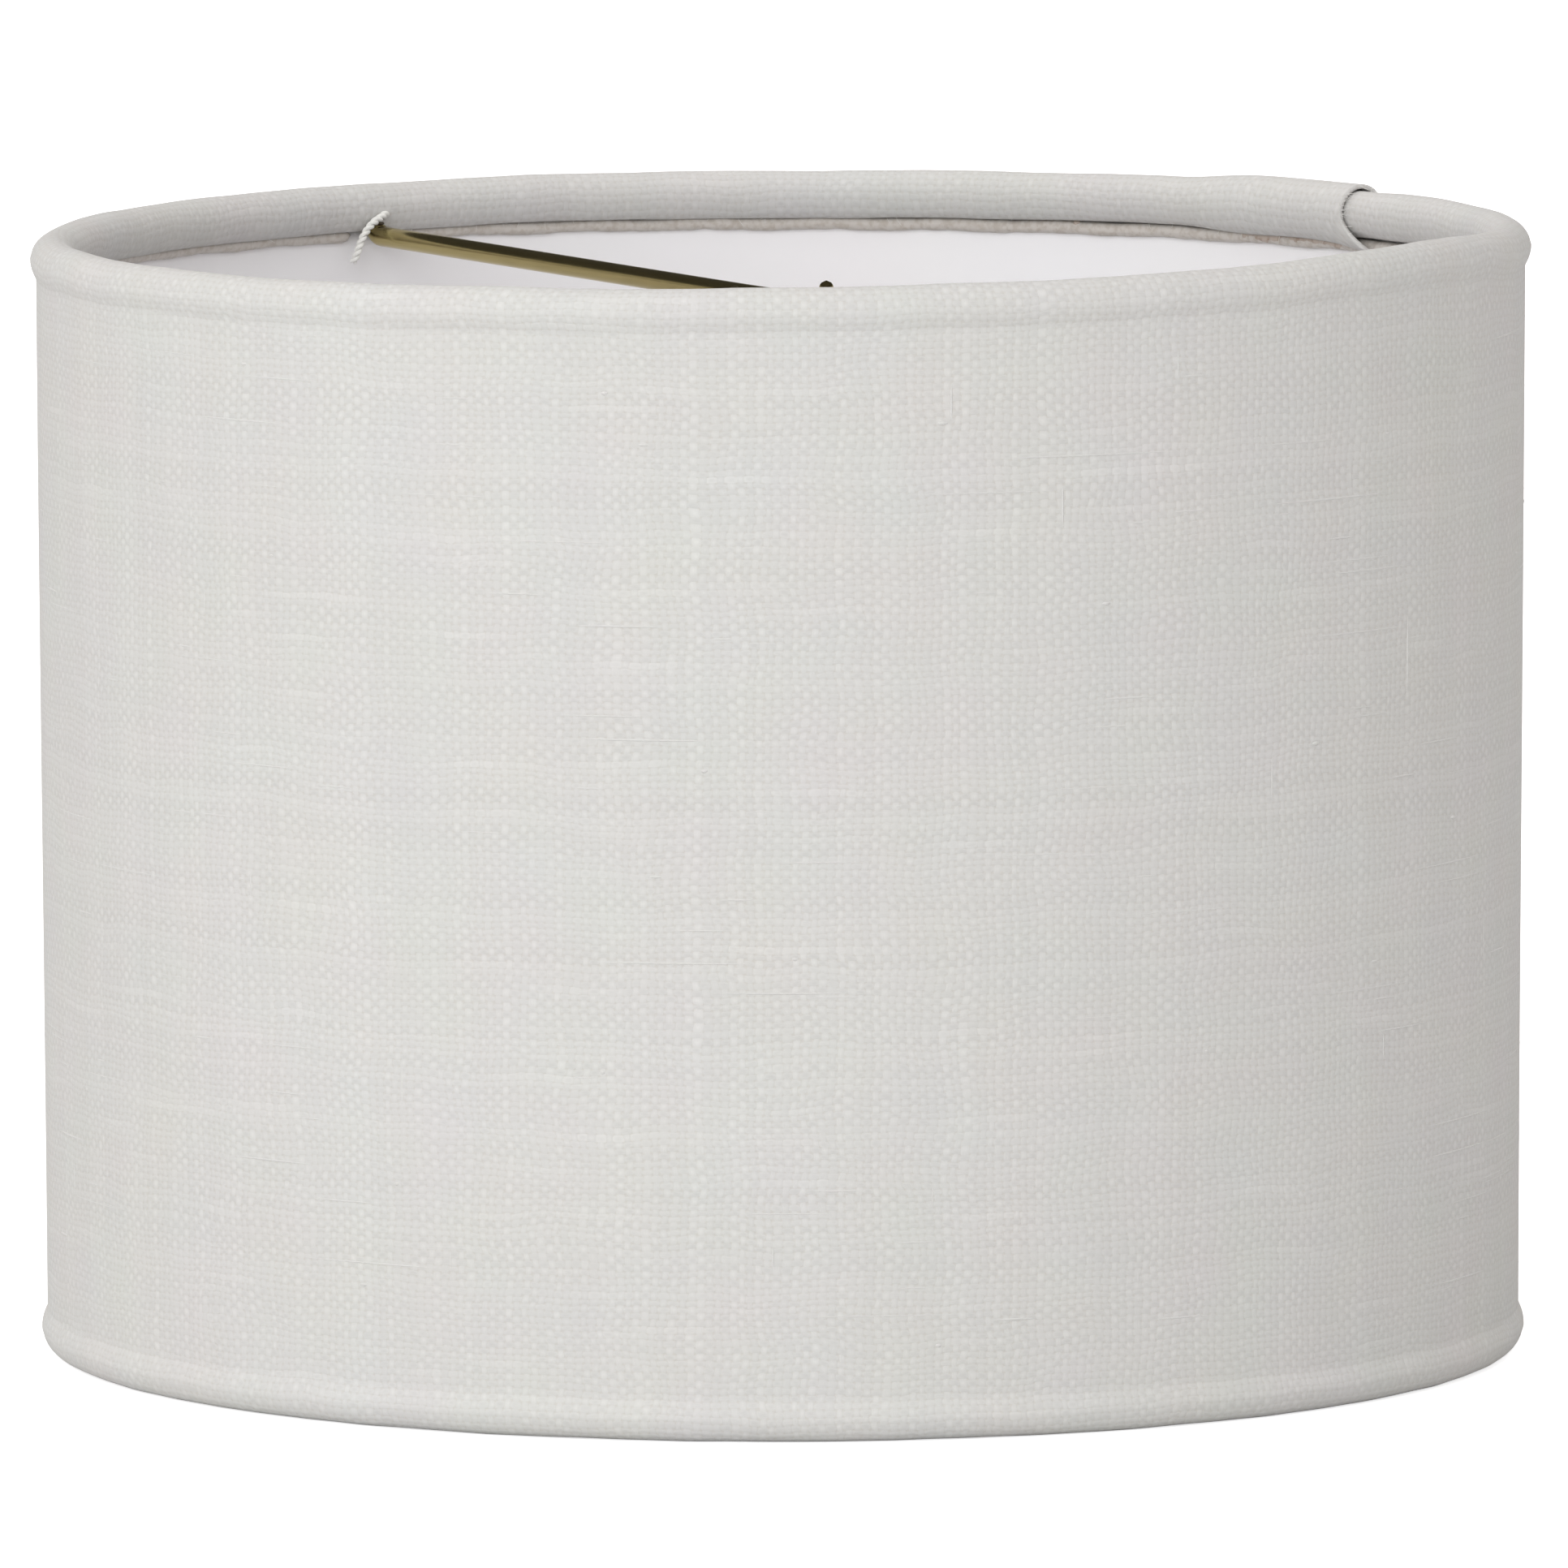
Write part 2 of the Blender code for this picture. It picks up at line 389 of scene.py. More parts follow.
def smooth_line(knots: list[tuple[float, float, float]], spacing: float) -> np.ndarray:
    """Draw a smooth curve through given points.

    Args:
        knots: points that the curve passes.
        spacing: distance between the returned points.

    Returns:
        Points along the curve.
    """
    marks = np.array(knots, float)
    marks = np.vstack([2 * marks[0] - marks[1], marks, 2 * marks[-1] - marks[-2]])
    drawn = []
    for before, start, end, after in zip(marks, marks[1:], marks[2:], marks[3:]):
        for share in np.linspace(0.0, 1.0, 24, endpoint=False):
            rise, bend = share * share, share * share * share
            drawn.append(0.5 * (2 * start + (end - before) * share
                                + (2 * before - 5 * start + 4 * end - after) * rise
                                + (3 * start - before - 3 * end + after) * bend))
    drawn.append(marks[-2])
    return even_line(np.array(drawn), spacing)


def even_line(line: np.ndarray, spacing: float) -> np.ndarray:
    """Space a line's points evenly.

    Args:
        line: points of the line.
        spacing: wanted distance between points.

    Returns:
        The same line with even points.
    """
    gaps = np.linalg.norm(np.diff(line, axis=0), axis=1)
    along = np.concatenate([[0.0], np.cumsum(gaps)])
    marks = np.linspace(0.0, along[-1], max(3, round(along[-1] / spacing)))
    return np.stack([np.interp(marks, along, line[:, axis]) for axis in range(3)], axis=1)


@dataclass(frozen=True)
class Ripple:
    """Smooth unevenness that repeats once round the drum."""

    size: float                     # usual height of the waves
    waves: tuple[int, ...]          # waves per turn
    seed: int

    def at(self, turn: np.ndarray, drift: Any = 0.0) -> np.ndarray:
        """Read the unevenness.

        Args:
            turn: angles round the drum.
            drift: phase added as the ripple is read across the cloth.

        Returns:
            Offsets, about -size to size.
        """
        draw = np.random.default_rng(self.seed)
        total = 0.0
        for wave in self.waves:
            phase, weight = draw.uniform(0.0, 2 * pi), draw.uniform(0.6, 1.0)
            total = total + weight * np.sin(wave * turn + phase + drift * draw.uniform(0.5, 1.5))
        return self.size * total / len(self.waves) ** 0.5


# ---------------------------------------------------------------------- the drum's form
class Rim(Enum):
    """The two rims, by the side on which the linen turns over."""

    TOP = 1
    BOTTOM = -1


@dataclass(frozen=True)
class DrumForm:
    """Sizes that every piece of the drum shares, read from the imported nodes."""

    fabric: float = 0.45 * MM       # linen as it shows
    liner: float = 0.4 * MM
    wall_gap: float = 0.5 * MM      # liner to linen
    packed_fabric: float = 0.5 * MM
    height: float = field(init=False)
    rings: dict[Rim, tuple[float, float]] = field(init=False)
    roll: float = field(init=False)
    liner_top: float = field(init=False)
    liner_foot: float = field(init=False)
    liner_radius: float = field(init=False)

    def __post_init__(self) -> None:
        """Read the rings, the rims and the liner from the frame."""
        rings = {}
        for rim, node in ((Rim.TOP, "top_ring"), (Rim.BOTTOM, "bottom_ring")):
            low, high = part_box(node)
            rings[rim] = (high.x - (high.z - low.z) / 2, (high.z + low.z) / 2)
        cover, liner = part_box("linen_cover"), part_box("styrene_liner")
        sizes = {
            "height": cover[1].z, "rings": rings, "liner_top": liner[1].z, "liner_foot": liner[0].z,
            "liner_radius": liner[1].x, "roll": cover[1].z - rings[Rim.TOP][1] - self.packed_fabric / 2,
        }
        for name, value in sizes.items():
            object.__setattr__(self, name, value)

    @property
    def taper(self) -> float:
        """Growth of the radius per unit of height."""
        (top, high), (bottom, low) = self.rings[Rim.TOP], self.rings[Rim.BOTTOM]
        return (top - bottom) / (high - low)

    def wall(self, height: Any) -> Any:
        """Radius of the plain linen wall, in the middle of the cloth."""
        at_top = self.liner_radius + self.wall_gap + self.packed_fabric / 2
        return at_top + self.taper * (height - self.liner_top)

    def skin(self, height: Any) -> Any:
        """Radius of the linen's outer face on the plain wall."""
        return self.wall(height) + self.fabric / 2


# ---------------------------------------------------------------------- shared effects
class Effects:
    """The shader groups that the finishes share, each built once."""

    def __init__(self) -> None:
        """Build every group."""
        self.weave = self.plain_weave()
        self.drift = self.colour_drift()
        self.specks = self.sparse_specks()
        self.fibre = self.fibre_streaks()
        self.drawn = self.drawn_metal()

    @staticmethod
    def plain_weave() -> Effect:
        """Build a plain weave whose cell is one yarn crossing.

        Returns:
            The effect: height, warp crowns as painted highlight, weft dashes and gaps as painted shade,
                streaks, tints, slubs.
        """
        inputs = {"Yarns": PLACE, "Wobble": ("Float", 1.0), "Unevenness": ("Float", 1.0)}
        outputs = {name: "Float" for name in ("Height", "CrownHighlight", "DashShade", "GapShade", "Streak", "Shade", "Slub")}
        effect = Effect("plain_weave", inputs, outputs)
        g, given = effect.graph, effect.given
        yarns, uneven = given["Yarns"], given["Unevenness"]
        sway, jitter = g.shift(yarns, 0.09, 1.0), g.shift(yarns, 0.6, 1.0)
        moved = g.vector("ADD", g.scaled(sway, 2.2), g.scaled(jitter, 0.42))
        u, v, _ = g.split(g.vector("ADD", yarns, g.scaled(moved, given["Wobble"])))
        warp, weft = g.math("FLOOR", u), g.math("FLOOR", v)
        across_u = g.minus(g.math("FRACT", u), 0.5)
        across_v = g.minus(g.math("FRACT", v), 0.5)
        parity = g.math("FLOORED_MODULO", g.plus(warp, weft), 2.0)
        side = g.minus(1.0, g.times(g.math("ROUND", parity), 2.0))

        def yarn(
            number: Socket, across: Socket, along: Socket, seed: float, rise: Socket
        ) -> tuple[Socket, Socket]:
            """Work out one of the two yarn sets.

            Args:
                number: number of the yarn.
                across: place across the yarn, zero in its middle.
                along: place along it.
                seed: shift of its random draws.
                rise: how it goes over and under the other set.

            Returns:
                Its height and its thick places.
            """
            lane = g.times(number, 7.31)
            slow = g.noise(g.join(g.times(along, 0.05), lane, seed), 1.0, 1.0).outputs[0]
            thick = g.step(slow, 0.6, 0.74)
            spread = g.times(g.minus(g.lot(number, seed), 0.5), 0.16)
            extra = g.plus(spread, g.times(thick, 0.12))
            half = g.plus(0.40, g.times(extra, uneven))
            share = g.math("DIVIDE", across, half)
            arch = g.math("SQRT", g.math("MAXIMUM", g.minus(1.0, g.math("POWER", share, 2.0)), 0.0))
            return g.linear(arch, 0.6, g.times(rise, 0.4)), thick

        bow_u = g.math("COSINE", g.times(across_u, pi))
        bow_v = g.math("COSINE", g.times(across_v, pi))
        warp_rise = g.times(side, bow_v)
        weft_rise = g.times(g.times(side, -1.0), bow_u)
        warp_high, warp_thick = yarn(warp, across_u, v, 3.0, warp_rise)
        weft_high, weft_thick = yarn(weft, across_v, u, 41.0, weft_rise)
        height = g.math("MAXIMUM", g.math("MAXIMUM", warp_high, weft_high), 0.0)
        over = g.linear(g.minus(warp_high, weft_high), 4.0, 0.5, clamp=True)
        along_warp = g.noise(g.join(g.times(u, 9.0), g.times(v, 1.1), 5.0), 1.0, 2.0)
        along_weft = g.noise(g.join(g.times(u, 1.1), g.times(v, 9.0), 9.0), 1.0, 2.0)
        on_top = g.math("GREATER_THAN", side, 0.0)
        patchy = g.step(g.noise(yarns, 0.33, 2.0).outputs[0], 0.28, 0.66)
        # painted light: a highlight spot on each warp crown, and a shade dash along each weft float
        dot = g.times(g.math("POWER", bow_u, 1.8), g.math("POWER", bow_v, 1.5))
        line = g.times(g.math("POWER", bow_u, 0.8), g.math("POWER", bow_v, 2.6))
        crown = g.times(g.times(dot, on_top), patchy)
        dash_shade = g.times(g.times(line, g.minus(1.0, on_top)), patchy)
        # the crown output is a painted highlight; the dash and gap outputs are painted shade where yarns dip
        # and part
        return effect.close(
            Height=height,
            CrownHighlight=crown,
            DashShade=dash_shade,
            GapShade=g.minus(1.0, g.step(height, 0.12, 0.62)),
            Streak=g.blend(over, along_weft.outputs[0], along_warp.outputs[0]),
            Shade=g.blend(over, g.lot(weft, 71.0), g.lot(warp, 13.0)),
            Slub=g.blend(over, weft_thick, g.times(warp_thick, 0.4)),
        )

    @staticmethod
    def colour_drift() -> Effect:
        """Build faint patches of another tint.

        Returns:
            The effect, a colour near white to multiply by.
        """
        inputs = {"Place": PLACE, "Patches": ("Float", 100.0), "Strength": ("Float", 0.02)}
        effect = Effect("colour_drift", inputs, {"Colour": "Color"})
        g, given = effect.graph, effect.given
        hue = g.shift(given["Place"], given["Patches"], 2.0)
        wide = g.times(given["Patches"], 0.22)
        depth = g.minus(g.noise(given["Place"], wide, 1.0).outputs[0], 0.5)
        both = g.vector("ADD", hue, g.join(depth, depth, depth))
        return effect.close(Colour=g.vector("ADD", g.scaled(both, given["Strength"]), (1.0, 1.0, 1.0)))

    @staticmethod
    def sparse_specks() -> Effect:
        """Build a few small round marks.

        Returns:
            The effect, a mask of the marks.
        """
        inputs = {"Place": PLACE, "Spacing": ("Float", 0.01), "Radius": ("Float", 0.0003),
                  "Share": ("Float", 0.2)}
        effect = Effect("sparse_specks", inputs, {"Mask": "Float"})
        g, given = effect.graph, effect.given
        ragged = g.noise(given["Place"], 2500.0, 1.0).outputs[1]
        bent = g.vector("ADD", given["Place"], g.scaled(ragged, 0.0003))
        scale = g.math("DIVIDE", 1.0, given["Spacing"])
        cells = g.add("ShaderNodeTexVoronoi", {"Vector": bent, "Scale": scale})
        edge = g.math("DIVIDE", given["Radius"], given["Spacing"])
        near = g.minus(1.0, g.step(cells.outputs["Distance"], g.times(edge, 0.5), edge))
        chance, _, _ = g.split(cells.outputs["Color"])
        return effect.close(Mask=g.times(near, g.math("LESS_THAN", chance, given["Share"])))

    @staticmethod
    def fibre_streaks() -> Effect:
        """Build fine fibres that run along one direction.

        Returns:
            The effect, a value from 0 to 1.
        """
        inputs = {"Place": PLACE, "Stretch": STRETCH, "Fineness": ("Float", 9000.0)}
        effect = Effect("fibre_streaks", inputs, {"Streak": "Float"})
        g, given = effect.graph, effect.given
        place = g.vector("MULTIPLY", given["Place"], given["Stretch"])
        return effect.close(Streak=g.noise(place, given["Fineness"], 3.0, 0.6).outputs[0])

    @staticmethod
    def drawn_metal() -> Effect:
        """Build the skin of drawn wire.

        Returns:
            The effect, with fine draw lines and cloudy tarnish.
        """
        inputs = {"Place": PLACE, "Stretch": STRETCH, "Tarnish": ("Float", 0.5)}
        effect = Effect("drawn_metal", inputs, {"Lines": "Float", "Cloud": "Float"})
        g, given = effect.graph, effect.given
        place = g.vector("MULTIPLY", given["Place"], given["Stretch"])
        lines = g.noise(place, 5200.0, 2.0, 0.7).outputs[0]
        cloud = g.noise(given["Place"], 260.0, 4.0, 0.62).outputs[0]
        low = g.minus(0.78, g.times(given["Tarnish"], 0.3))
        return effect.close(Lines=lines, Cloud=g.step(cloud, low, g.plus(low, 0.22)))


# ---------------------------------------------------------------------- finishes
@dataclass(frozen=True)
class Finish:
    """What every finish has: its name, colour, gloss and fine relief."""

    name: str
    colour: Colour
    roughness: float
    swing: float = 0.1              # how far the roughness varies
    depth: float = 0.1 * MM         # height of the relief
    relief: float = 0.5             # share of it that shows
    constants: ClassVar[dict[str, float]] = {}

    def paint(self, g: Graph, place: Socket, effects: Effects) -> tuple[Socket, Socket, Socket]:
        """Work out the colour, the roughness and the height of the relief.

        Args:
            g: the material's graph.
            place: where a point is on the object.
            effects: the shared groups.

        Returns:
            The three sockets.
        """
        raise NotImplementedError

    def rough(self, g: Graph, marks: Socket) -> Socket:
        """Let the roughness follow fine marks that go from 0 to 1."""
        return g.linear(marks, self.swing, self.roughness - self.swing / 2)

    def make(self, effects: Effects) -> bpy.types.Material:
        """Build the material.

        Args:
            effects: the shared groups.

        Returns:
            The material.
        """
        material = bpy.data.materials.new(self.name)
        material.use_nodes = True
        material.diffuse_color = rgba(self.colour)
        shader = material.node_tree.nodes["Principled BSDF"]
        plain = {"Base Color": rgba(self.colour), "Roughness": self.roughness, **self.constants}
        for name, value in plain.items():
            shader.inputs[name].default_value = value
        g = Graph(material.node_tree)
        colour, rough, height = self.paint(g, g.add("ShaderNodeTexCoord").outputs["Object"], effects)
        bump = g.add("ShaderNodeBump", {"Strength": self.relief, "Distance": self.depth, "Height": height})
        for name, socket in (("Base Color", colour), ("Roughness", rough), ("Normal", bump.outputs[0])):
            g.feed(shader.inputs[name], socket)
        return material


@dataclass(frozen=True)
class LinenFinish(Finish):
    """Plain-woven off-white linen, read along the cloth's own map."""

    swing: float = 0.16
    depth: float = 0.24 * MM
    relief: float = 0.26
    yarns: tuple[float, float] = (555.0, 187.0)     # warp yarns round the panel, weft yarns across it
    wobble: float = 1.0
    # warm tint of the painted shade in the gaps between yarns
    gap_shade_tint: Colour = (1.0, 0.985, 0.965)
    speck: Colour = (0.30, 0.22, 0.15)
    speck_strength: float = 0.30
    # crowns add painted highlight, dashes and gaps add painted shade
    gains: tuple[tuple[str, float, float], ...] = (     # brightness from each part of the weave, its middle
        ("CrownHighlight", 0.075, 0.0), ("DashShade", -0.065, 0.0), ("GapShade", -0.05, 0.0), ("Shade", 0.045, 0.5),
        ("Streak", 0.10, 0.5), ("Slub", 0.05, 0.0),
    )
    heights: tuple[tuple[str, float], ...] = (("Streak", 0.08), ("Slub", 0.07))     # on top of the yarns'
    yarn_height: float = 0.86
    constants: ClassVar[dict[str, float]] = {
        "Sheen Weight": 0.07, "Sheen Roughness": 0.55, "Specular IOR Level": 0.25,
    }

    def paint(self, g: Graph, place: Socket, effects: Effects) -> tuple[Socket, Socket, Socket]:
        """Work out the colour, the roughness and the height of the relief.

        Args:
            g: the material's graph.
            place: where a point is on the object.
            effects: the shared groups.

        Returns:
            The three sockets.
        """
        cloth = g.add("ShaderNodeUVMap", uv_map=CLOTH_MAP).outputs[0]
        yarns = g.vector("MULTIPLY", cloth, (*self.yarns, 1.0))
        weave = effects.weave.place(g, Yarns=yarns, Wobble=self.wobble, Unevenness=1.0)
        value = 1.0
        for name, gain, middle in self.gains:
            value = g.plus(value, g.times(g.minus(weave[name], middle), gain))
        drift = effects.drift.place(g, Place=place, Patches=95.0, Strength=0.045)
        # painted shade: the gaps between yarns darkened and warmed
        gap_shade_colour = tuple(part * drop for part, drop in zip(self.colour, self.gap_shade_tint))
        body = g.scaled(g.tint(weave["GapShade"], self.colour, gap_shade_colour), value)
        flecks = effects.specks.place(g, Place=place, Spacing=0.0085, Radius=0.00036, Share=0.10)
        drifted = g.tint(1.0, body, drift[0], "MULTIPLY")
        colour = g.tint(g.times(flecks[0], self.speck_strength), drifted, self.speck)
        height = g.times(weave["Height"], self.yarn_height)
        for name, gain in self.heights:
            height = g.plus(height, g.times(weave[name], gain))
        return colour, self.rough(g, weave["Streak"]), height


@dataclass(frozen=True)
class YarnFinish(Finish):
    """Loose linen fibre, as in slubs, frayed ends and a pulled yarn."""

    swing: float = 0.2
    depth: float = 0.08 * MM
    relief: float = 0.6
    stretch: tuple[float, float, float] = (1.0, 1.0, 0.25)
    darkest: float = 0.89               # brightness between the fibres
    gain: float = 0.22
    constants: ClassVar[dict[str, float]] = {
        "Sheen Weight": 0.3, "Sheen Roughness": 0.5, "Specular IOR Level": 0.3,
    }

    def paint(self, g: Graph, place: Socket, effects: Effects) -> tuple[Socket, Socket, Socket]:
        """Work out the colour, the roughness and the height of the relief.

        Args:
            g: the material's graph.
            place: where a point is on the object.
            effects: the shared groups.

        Returns:
            The three sockets.
        """
        fibre = effects.fibre.place(g, Place=place, Stretch=self.stretch, Fineness=7000.0)[0]
        drift = effects.drift.place(g, Place=place, Patches=400.0, Strength=0.05)
        body = g.scaled(self.colour, g.linear(fibre, self.gain, self.darkest))
        return g.tint(1.0, body, drift[0], "MULTIPLY"), self.rough(g, fibre), fibre


@dataclass(frozen=True)
class StyreneFinish(Finish):
    """Smooth white styrene sheet with faint roll marks and dust."""

    swing: float = 0.08
    depth: float = 0.05 * MM
    relief: float = 0.05
    dust: Colour = (0.62, 0.60, 0.57)
    dust_strength: float = 0.35
    constants: ClassVar[dict[str, float]] = {"Specular IOR Level": 0.5}

    def paint(self, g: Graph, place: Socket, effects: Effects) -> tuple[Socket, Socket, Socket]:
        """Work out the colour, the roughness and the height of the relief.

        Args:
            g: the material's graph.
            place: where a point is on the object.
            effects: the shared groups.

        Returns:
            The three sockets.
        """
        drift = effects.drift.place(g, Place=place, Patches=45.0, Strength=0.02)
        specks = effects.specks.place(g, Place=place, Spacing=0.006, Radius=0.00016, Share=0.12)
        marks = effects.fibre.place(g, Place=place, Stretch=(1.0, 1.0, 0.06), Fineness=260.0)[0]
        body = g.tint(1.0, self.colour, drift[0], "MULTIPLY")
        return g.tint(g.times(specks[0], self.dust_strength), body, self.dust), self.rough(g, marks), marks


@dataclass(frozen=True)
class MetalFinish(Finish):
    """Drawn wire, bright or tarnished."""

    swing: float = 0.12
    depth: float = 0.012 * MM
    relief: float = 0.35
    tarnished: Colour = (0.2, 0.15, 0.08)
    tarnish: float = 0.5
    tarnish_strength: float = 0.75
    tarnish_dulls: float = 0.16         # roughness that tarnish adds
    line_gain: float = 0.3
    line_darkest: float = 0.85
    stretch: tuple[float, float, float] = (1.0, 0.04, 1.0)
    constants: ClassVar[dict[str, float]] = {"Metallic": 1.0}

    def paint(self, g: Graph, place: Socket, effects: Effects) -> tuple[Socket, Socket, Socket]:
        """Work out the colour, the roughness and the height of the relief.

        Args:
            g: the material's graph.
            place: where a point is on the object.
            effects: the shared groups.

        Returns:
            The three sockets.
        """
        drawn = effects.drawn.place(g, Place=place, Stretch=self.stretch, Tarnish=self.tarnish)
        lines, cloud = drawn["Lines"], drawn["Cloud"]
        bright = g.scaled(self.colour, g.linear(lines, self.line_gain, self.line_darkest))
        colour = g.tint(g.times(cloud, self.tarnish_strength), bright, self.tarnished)
        return colour, g.linear(cloud, self.tarnish_dulls, self.rough(g, lines)), lines


@dataclass(frozen=True)
class GlueFinish(Finish):
    """Dried fabric glue, darker where it is thick."""

    swing: float = 0.25
    swing_down: float = 0.1             # part of the swing that is glossier
    depth: float = 0.15 * MM
    relief: float = 0.6
    thick: Colour = (0.22, 0.15, 0.10)
    constants: ClassVar[dict[str, float]] = {"Coat Weight": 0.3, "Coat Roughness": 0.25}

    def paint(self, g: Graph, place: Socket, effects: Effects) -> tuple[Socket, Socket, Socket]:
        """Work out the colour, the roughness and the height of the relief.

        Args:
            g: the material's graph.
            place: where a point is on the object.
            effects: the shared groups.

        Returns:
            The three sockets.
        """
        lumps = g.noise(place, 1500.0, 3.0).outputs[0]
        fibre = effects.fibre.place(g, Place=place, Stretch=(1.0, 1.0, 1.0), Fineness=4000.0)[0]
        rough = g.linear(fibre, self.swing, self.roughness - self.swing_down)
        return g.tint(g.step(lumps, 0.4, 0.7), self.colour, self.thick), rough, lumps


class Wardrobe:
    """The finishes of the shade, made once each."""

    def __init__(self) -> None:
        """Make every material."""
        effects = Effects()
        self.linen = LinenFinish("linen_cloth", (0.622, 0.616, 0.600), 0.9).make(effects)
        self.yarn = YarnFinish("linen_yarn", (0.84, 0.83, 0.80), 0.88).make(effects)
        self.slub = YarnFinish(
            "linen_slub", (0.652, 0.646, 0.630), 0.9, stretch=(0.3, 0.3, 1.0),
        ).make(effects)
        self.styrene = StyreneFinish("styrene_sheet", (0.94, 0.93, 0.945), 0.42).make(effects)
        self.brass = MetalFinish("brass_wire", (0.46, 0.38, 0.17), 0.2).make(effects)
        self.loop_brass = MetalFinish(
            "loop_brass", (0.48, 0.39, 0.18), 0.24, stretch=(1.0, 1.0, 0.05), tarnish=0.35,
        ).make(effects)
        self.steel = MetalFinish(
            "ring_steel_wire", (0.46, 0.45, 0.43), 0.42, tarnished=(0.16, 0.12, 0.09), tarnish=0.8,
            stretch=(0.3, 0.3, 1.0), depth=0.03 * MM,
        ).make(effects)
        self.weld = MetalFinish(
            "weld_metal", (0.20, 0.17, 0.12), 0.38, tarnished=(0.06, 0.05, 0.04), tarnish=1.0,
            stretch=(1.0, 1.0, 1.0), depth=0.08 * MM,
        ).make(effects)
        self.glue = GlueFinish(
            "dried_glue", (0.52, 0.44, 0.38), 0.5, thick=(0.38, 0.29, 0.23),
        ).make(effects)
        # grey glue for the hem bead: partly real glue, partly painted shade under the rolled hem
        self.hem_glue_and_painted_shade = GlueFinish(
            "hem_glue_and_painted_shade", (0.62, 0.58, 0.54), 0.55, thick=(0.52, 0.47, 0.42),
        ).make(effects)


# ---------------------------------------------------------------------- the cloth
@dataclass
class LinenCover:
    """The linen panel, rolled into a drum and turned over both rings."""

    form: DrumForm
    lap: float = radians(12.0)              # turn in which the panel lies over itself
    lap_run_out: float = radians(9.0)
    lap_lift: float = 0.60 * MM             # top layer above its usual place
    lap_dip: float = 0.12 * MM              # under layer below it
    seam_rise: float = 0.24 * MM            # rim higher at the lap than opposite
    rim_lean: float = 0.45 * MM             # the top ring isn't quite level
    rim_lean_turn: float = radians(324.5)   # where it is highest
    rim_warp: float = 0.175 * MM            # and it is slightly bent, high at two places
    rim_warp_turn: float = radians(95.0)
    rim_bump: float = 0.8 * MM              # and pushed up at one place
    rim_bump_turn: float = radians(293.0)
    rim_bump_width: float = radians(20.0)
    hem_hang: float = 0.5 * MM              # top hem hangs below the round of the roll
    hang_turn: float = radians(245.0)       # turn at which it hangs in full
    wall_lap: float = 0.8                   # share of the lap's offset that the wall takes
    foot_lap: float = 0.45                  # and the bottom rim
    lift_band: tuple[float, float] = (0.82, 0.97)   # share of the height in which the top's lift fades in
    foot_band: float = 0.12                 # and out of which the foot's does
    foot_share: float = 0.6
    tuck: float = radians(255.0)            # hem's edge, round the ring from the outermost line
    slit_tuck: float = radians(238.0)       # the same where the crossbar passes
    slit_half: float = 1.1 * MM
    slit_ease: float = 1.5 * MM
    fillet: float = 1.1 * MM                # between the rolled rim and the wall
    tongue: float = 3.3 * MM                # corner of the hem pulled out at the cut edge
    tongue_droop: float = 0.8 * MM
    tongue_reach: float = 2.6 * MM          # how far along the hem the pull reaches
    tongue_root: tuple[float, float] = (0.2 * MM, 2.6 * MM)     # and how far into the cloth
    tongue_in: float = 0.35 * MM
    cut_reach: float = 1.6 * MM             # how far the cut edge's wander reaches
    cut_waves: int = 5
    columns: int = 555
    column_trials: int = 8000
    crowding: float = 2.6                   # extra columns at the slits and the lap
    roll_rows: int = 25
    shoulder: float = 1.5                   # where the rim's rows end, in roll radii from the ring
    shoulder_rows: int = 12
    wall_rows: int = 14
    rim_height: Ripple = Ripple(0.1 * MM, (2, 3, 5, 8, 13, 21), 11)
    rim_lumps: Ripple = Ripple(0.035 * MM, (17, 29, 41, 53, 67), 12)
    hem_edge: Ripple = Ripple(radians(5.0), (3, 7, 11, 19, 31), 13)
    wall_sway: Ripple = Ripple(0.05 * MM, (3, 4, 7, 11), 14)
    sway_height: float = 18 * MM            # height in which the sway drifts on
    cut_edge: Ripple = Ripple(0.12 * MM, (1, 2, 3), 15)

    @property
    def span(self) -> float:
        """Turn from the cut edge on top to the hidden edge below it."""
        return 2 * pi + self.lap

    @property
    def flat_length(self) -> float:
        """Length of the panel round the drum, at half its height."""
        return self.span * self.form.wall(self.form.height / 2)

    @property
    def flat_width(self) -> float:
        """Width of the panel from hem edge to hem edge."""
        turned = 2 * self.tuck * self.form.roll
        return turned + self.form.rings[Rim.TOP][1] - self.form.rings[Rim.BOTTOM][1]

    def column_turns(self) -> np.ndarray:
        """Place the columns, closer where the cloth is cut or lapped.

        Returns:
            The turn of each column from the cut edge.
        """
        turns = np.linspace(0.0, self.span, self.column_trials)
        weight = np.ones_like(turns)
        for centre, width in ((pi / 2, 2.4), (3 * pi / 2, 2.4), (0.0, 3.0), (self.lap, 3.0), (2 * pi, 2.0)):
            weight += self.crowding * np.exp(-((turns - centre) / radians(width)) ** 2)
        spread = np.concatenate([[0.0], np.cumsum((weight[1:] + weight[:-1]) / 2)])
        return np.interp(np.linspace(0.0, spread[-1], self.columns), spread, turns)

    def lap_offset(self, turns: np.ndarray) -> np.ndarray:
        """How far the lap moves the cloth off its usual place.

        Args:
            turns: turn of each column.

        Returns:
            Offsets outwards.
        """
        lifted = 1.0 - smooth_step(turns, self.lap, self.lap + self.lap_run_out)
        dipped = smooth_step(turns, 2 * pi - self.lap_run_out, 2 * pi)
        return self.lap_lift * lifted - self.lap_dip * dipped

    def hem_turn(self, turns: np.ndarray) -> np.ndarray:
        """How far round the ring the hem's edge lies, with the two slits.

        Args:
            turns: turn of each column.

        Returns:
            Angles round the ring.
        """
        away = np.abs((turns % pi) - pi / 2) * self.form.rings[Rim.TOP][0]
        slit = 1.0 - smooth_step(away, self.slit_half, self.slit_half + self.slit_ease)
        return self.tuck + self.hem_edge.at(turns) - (self.tuck - self.slit_tuck) * slit

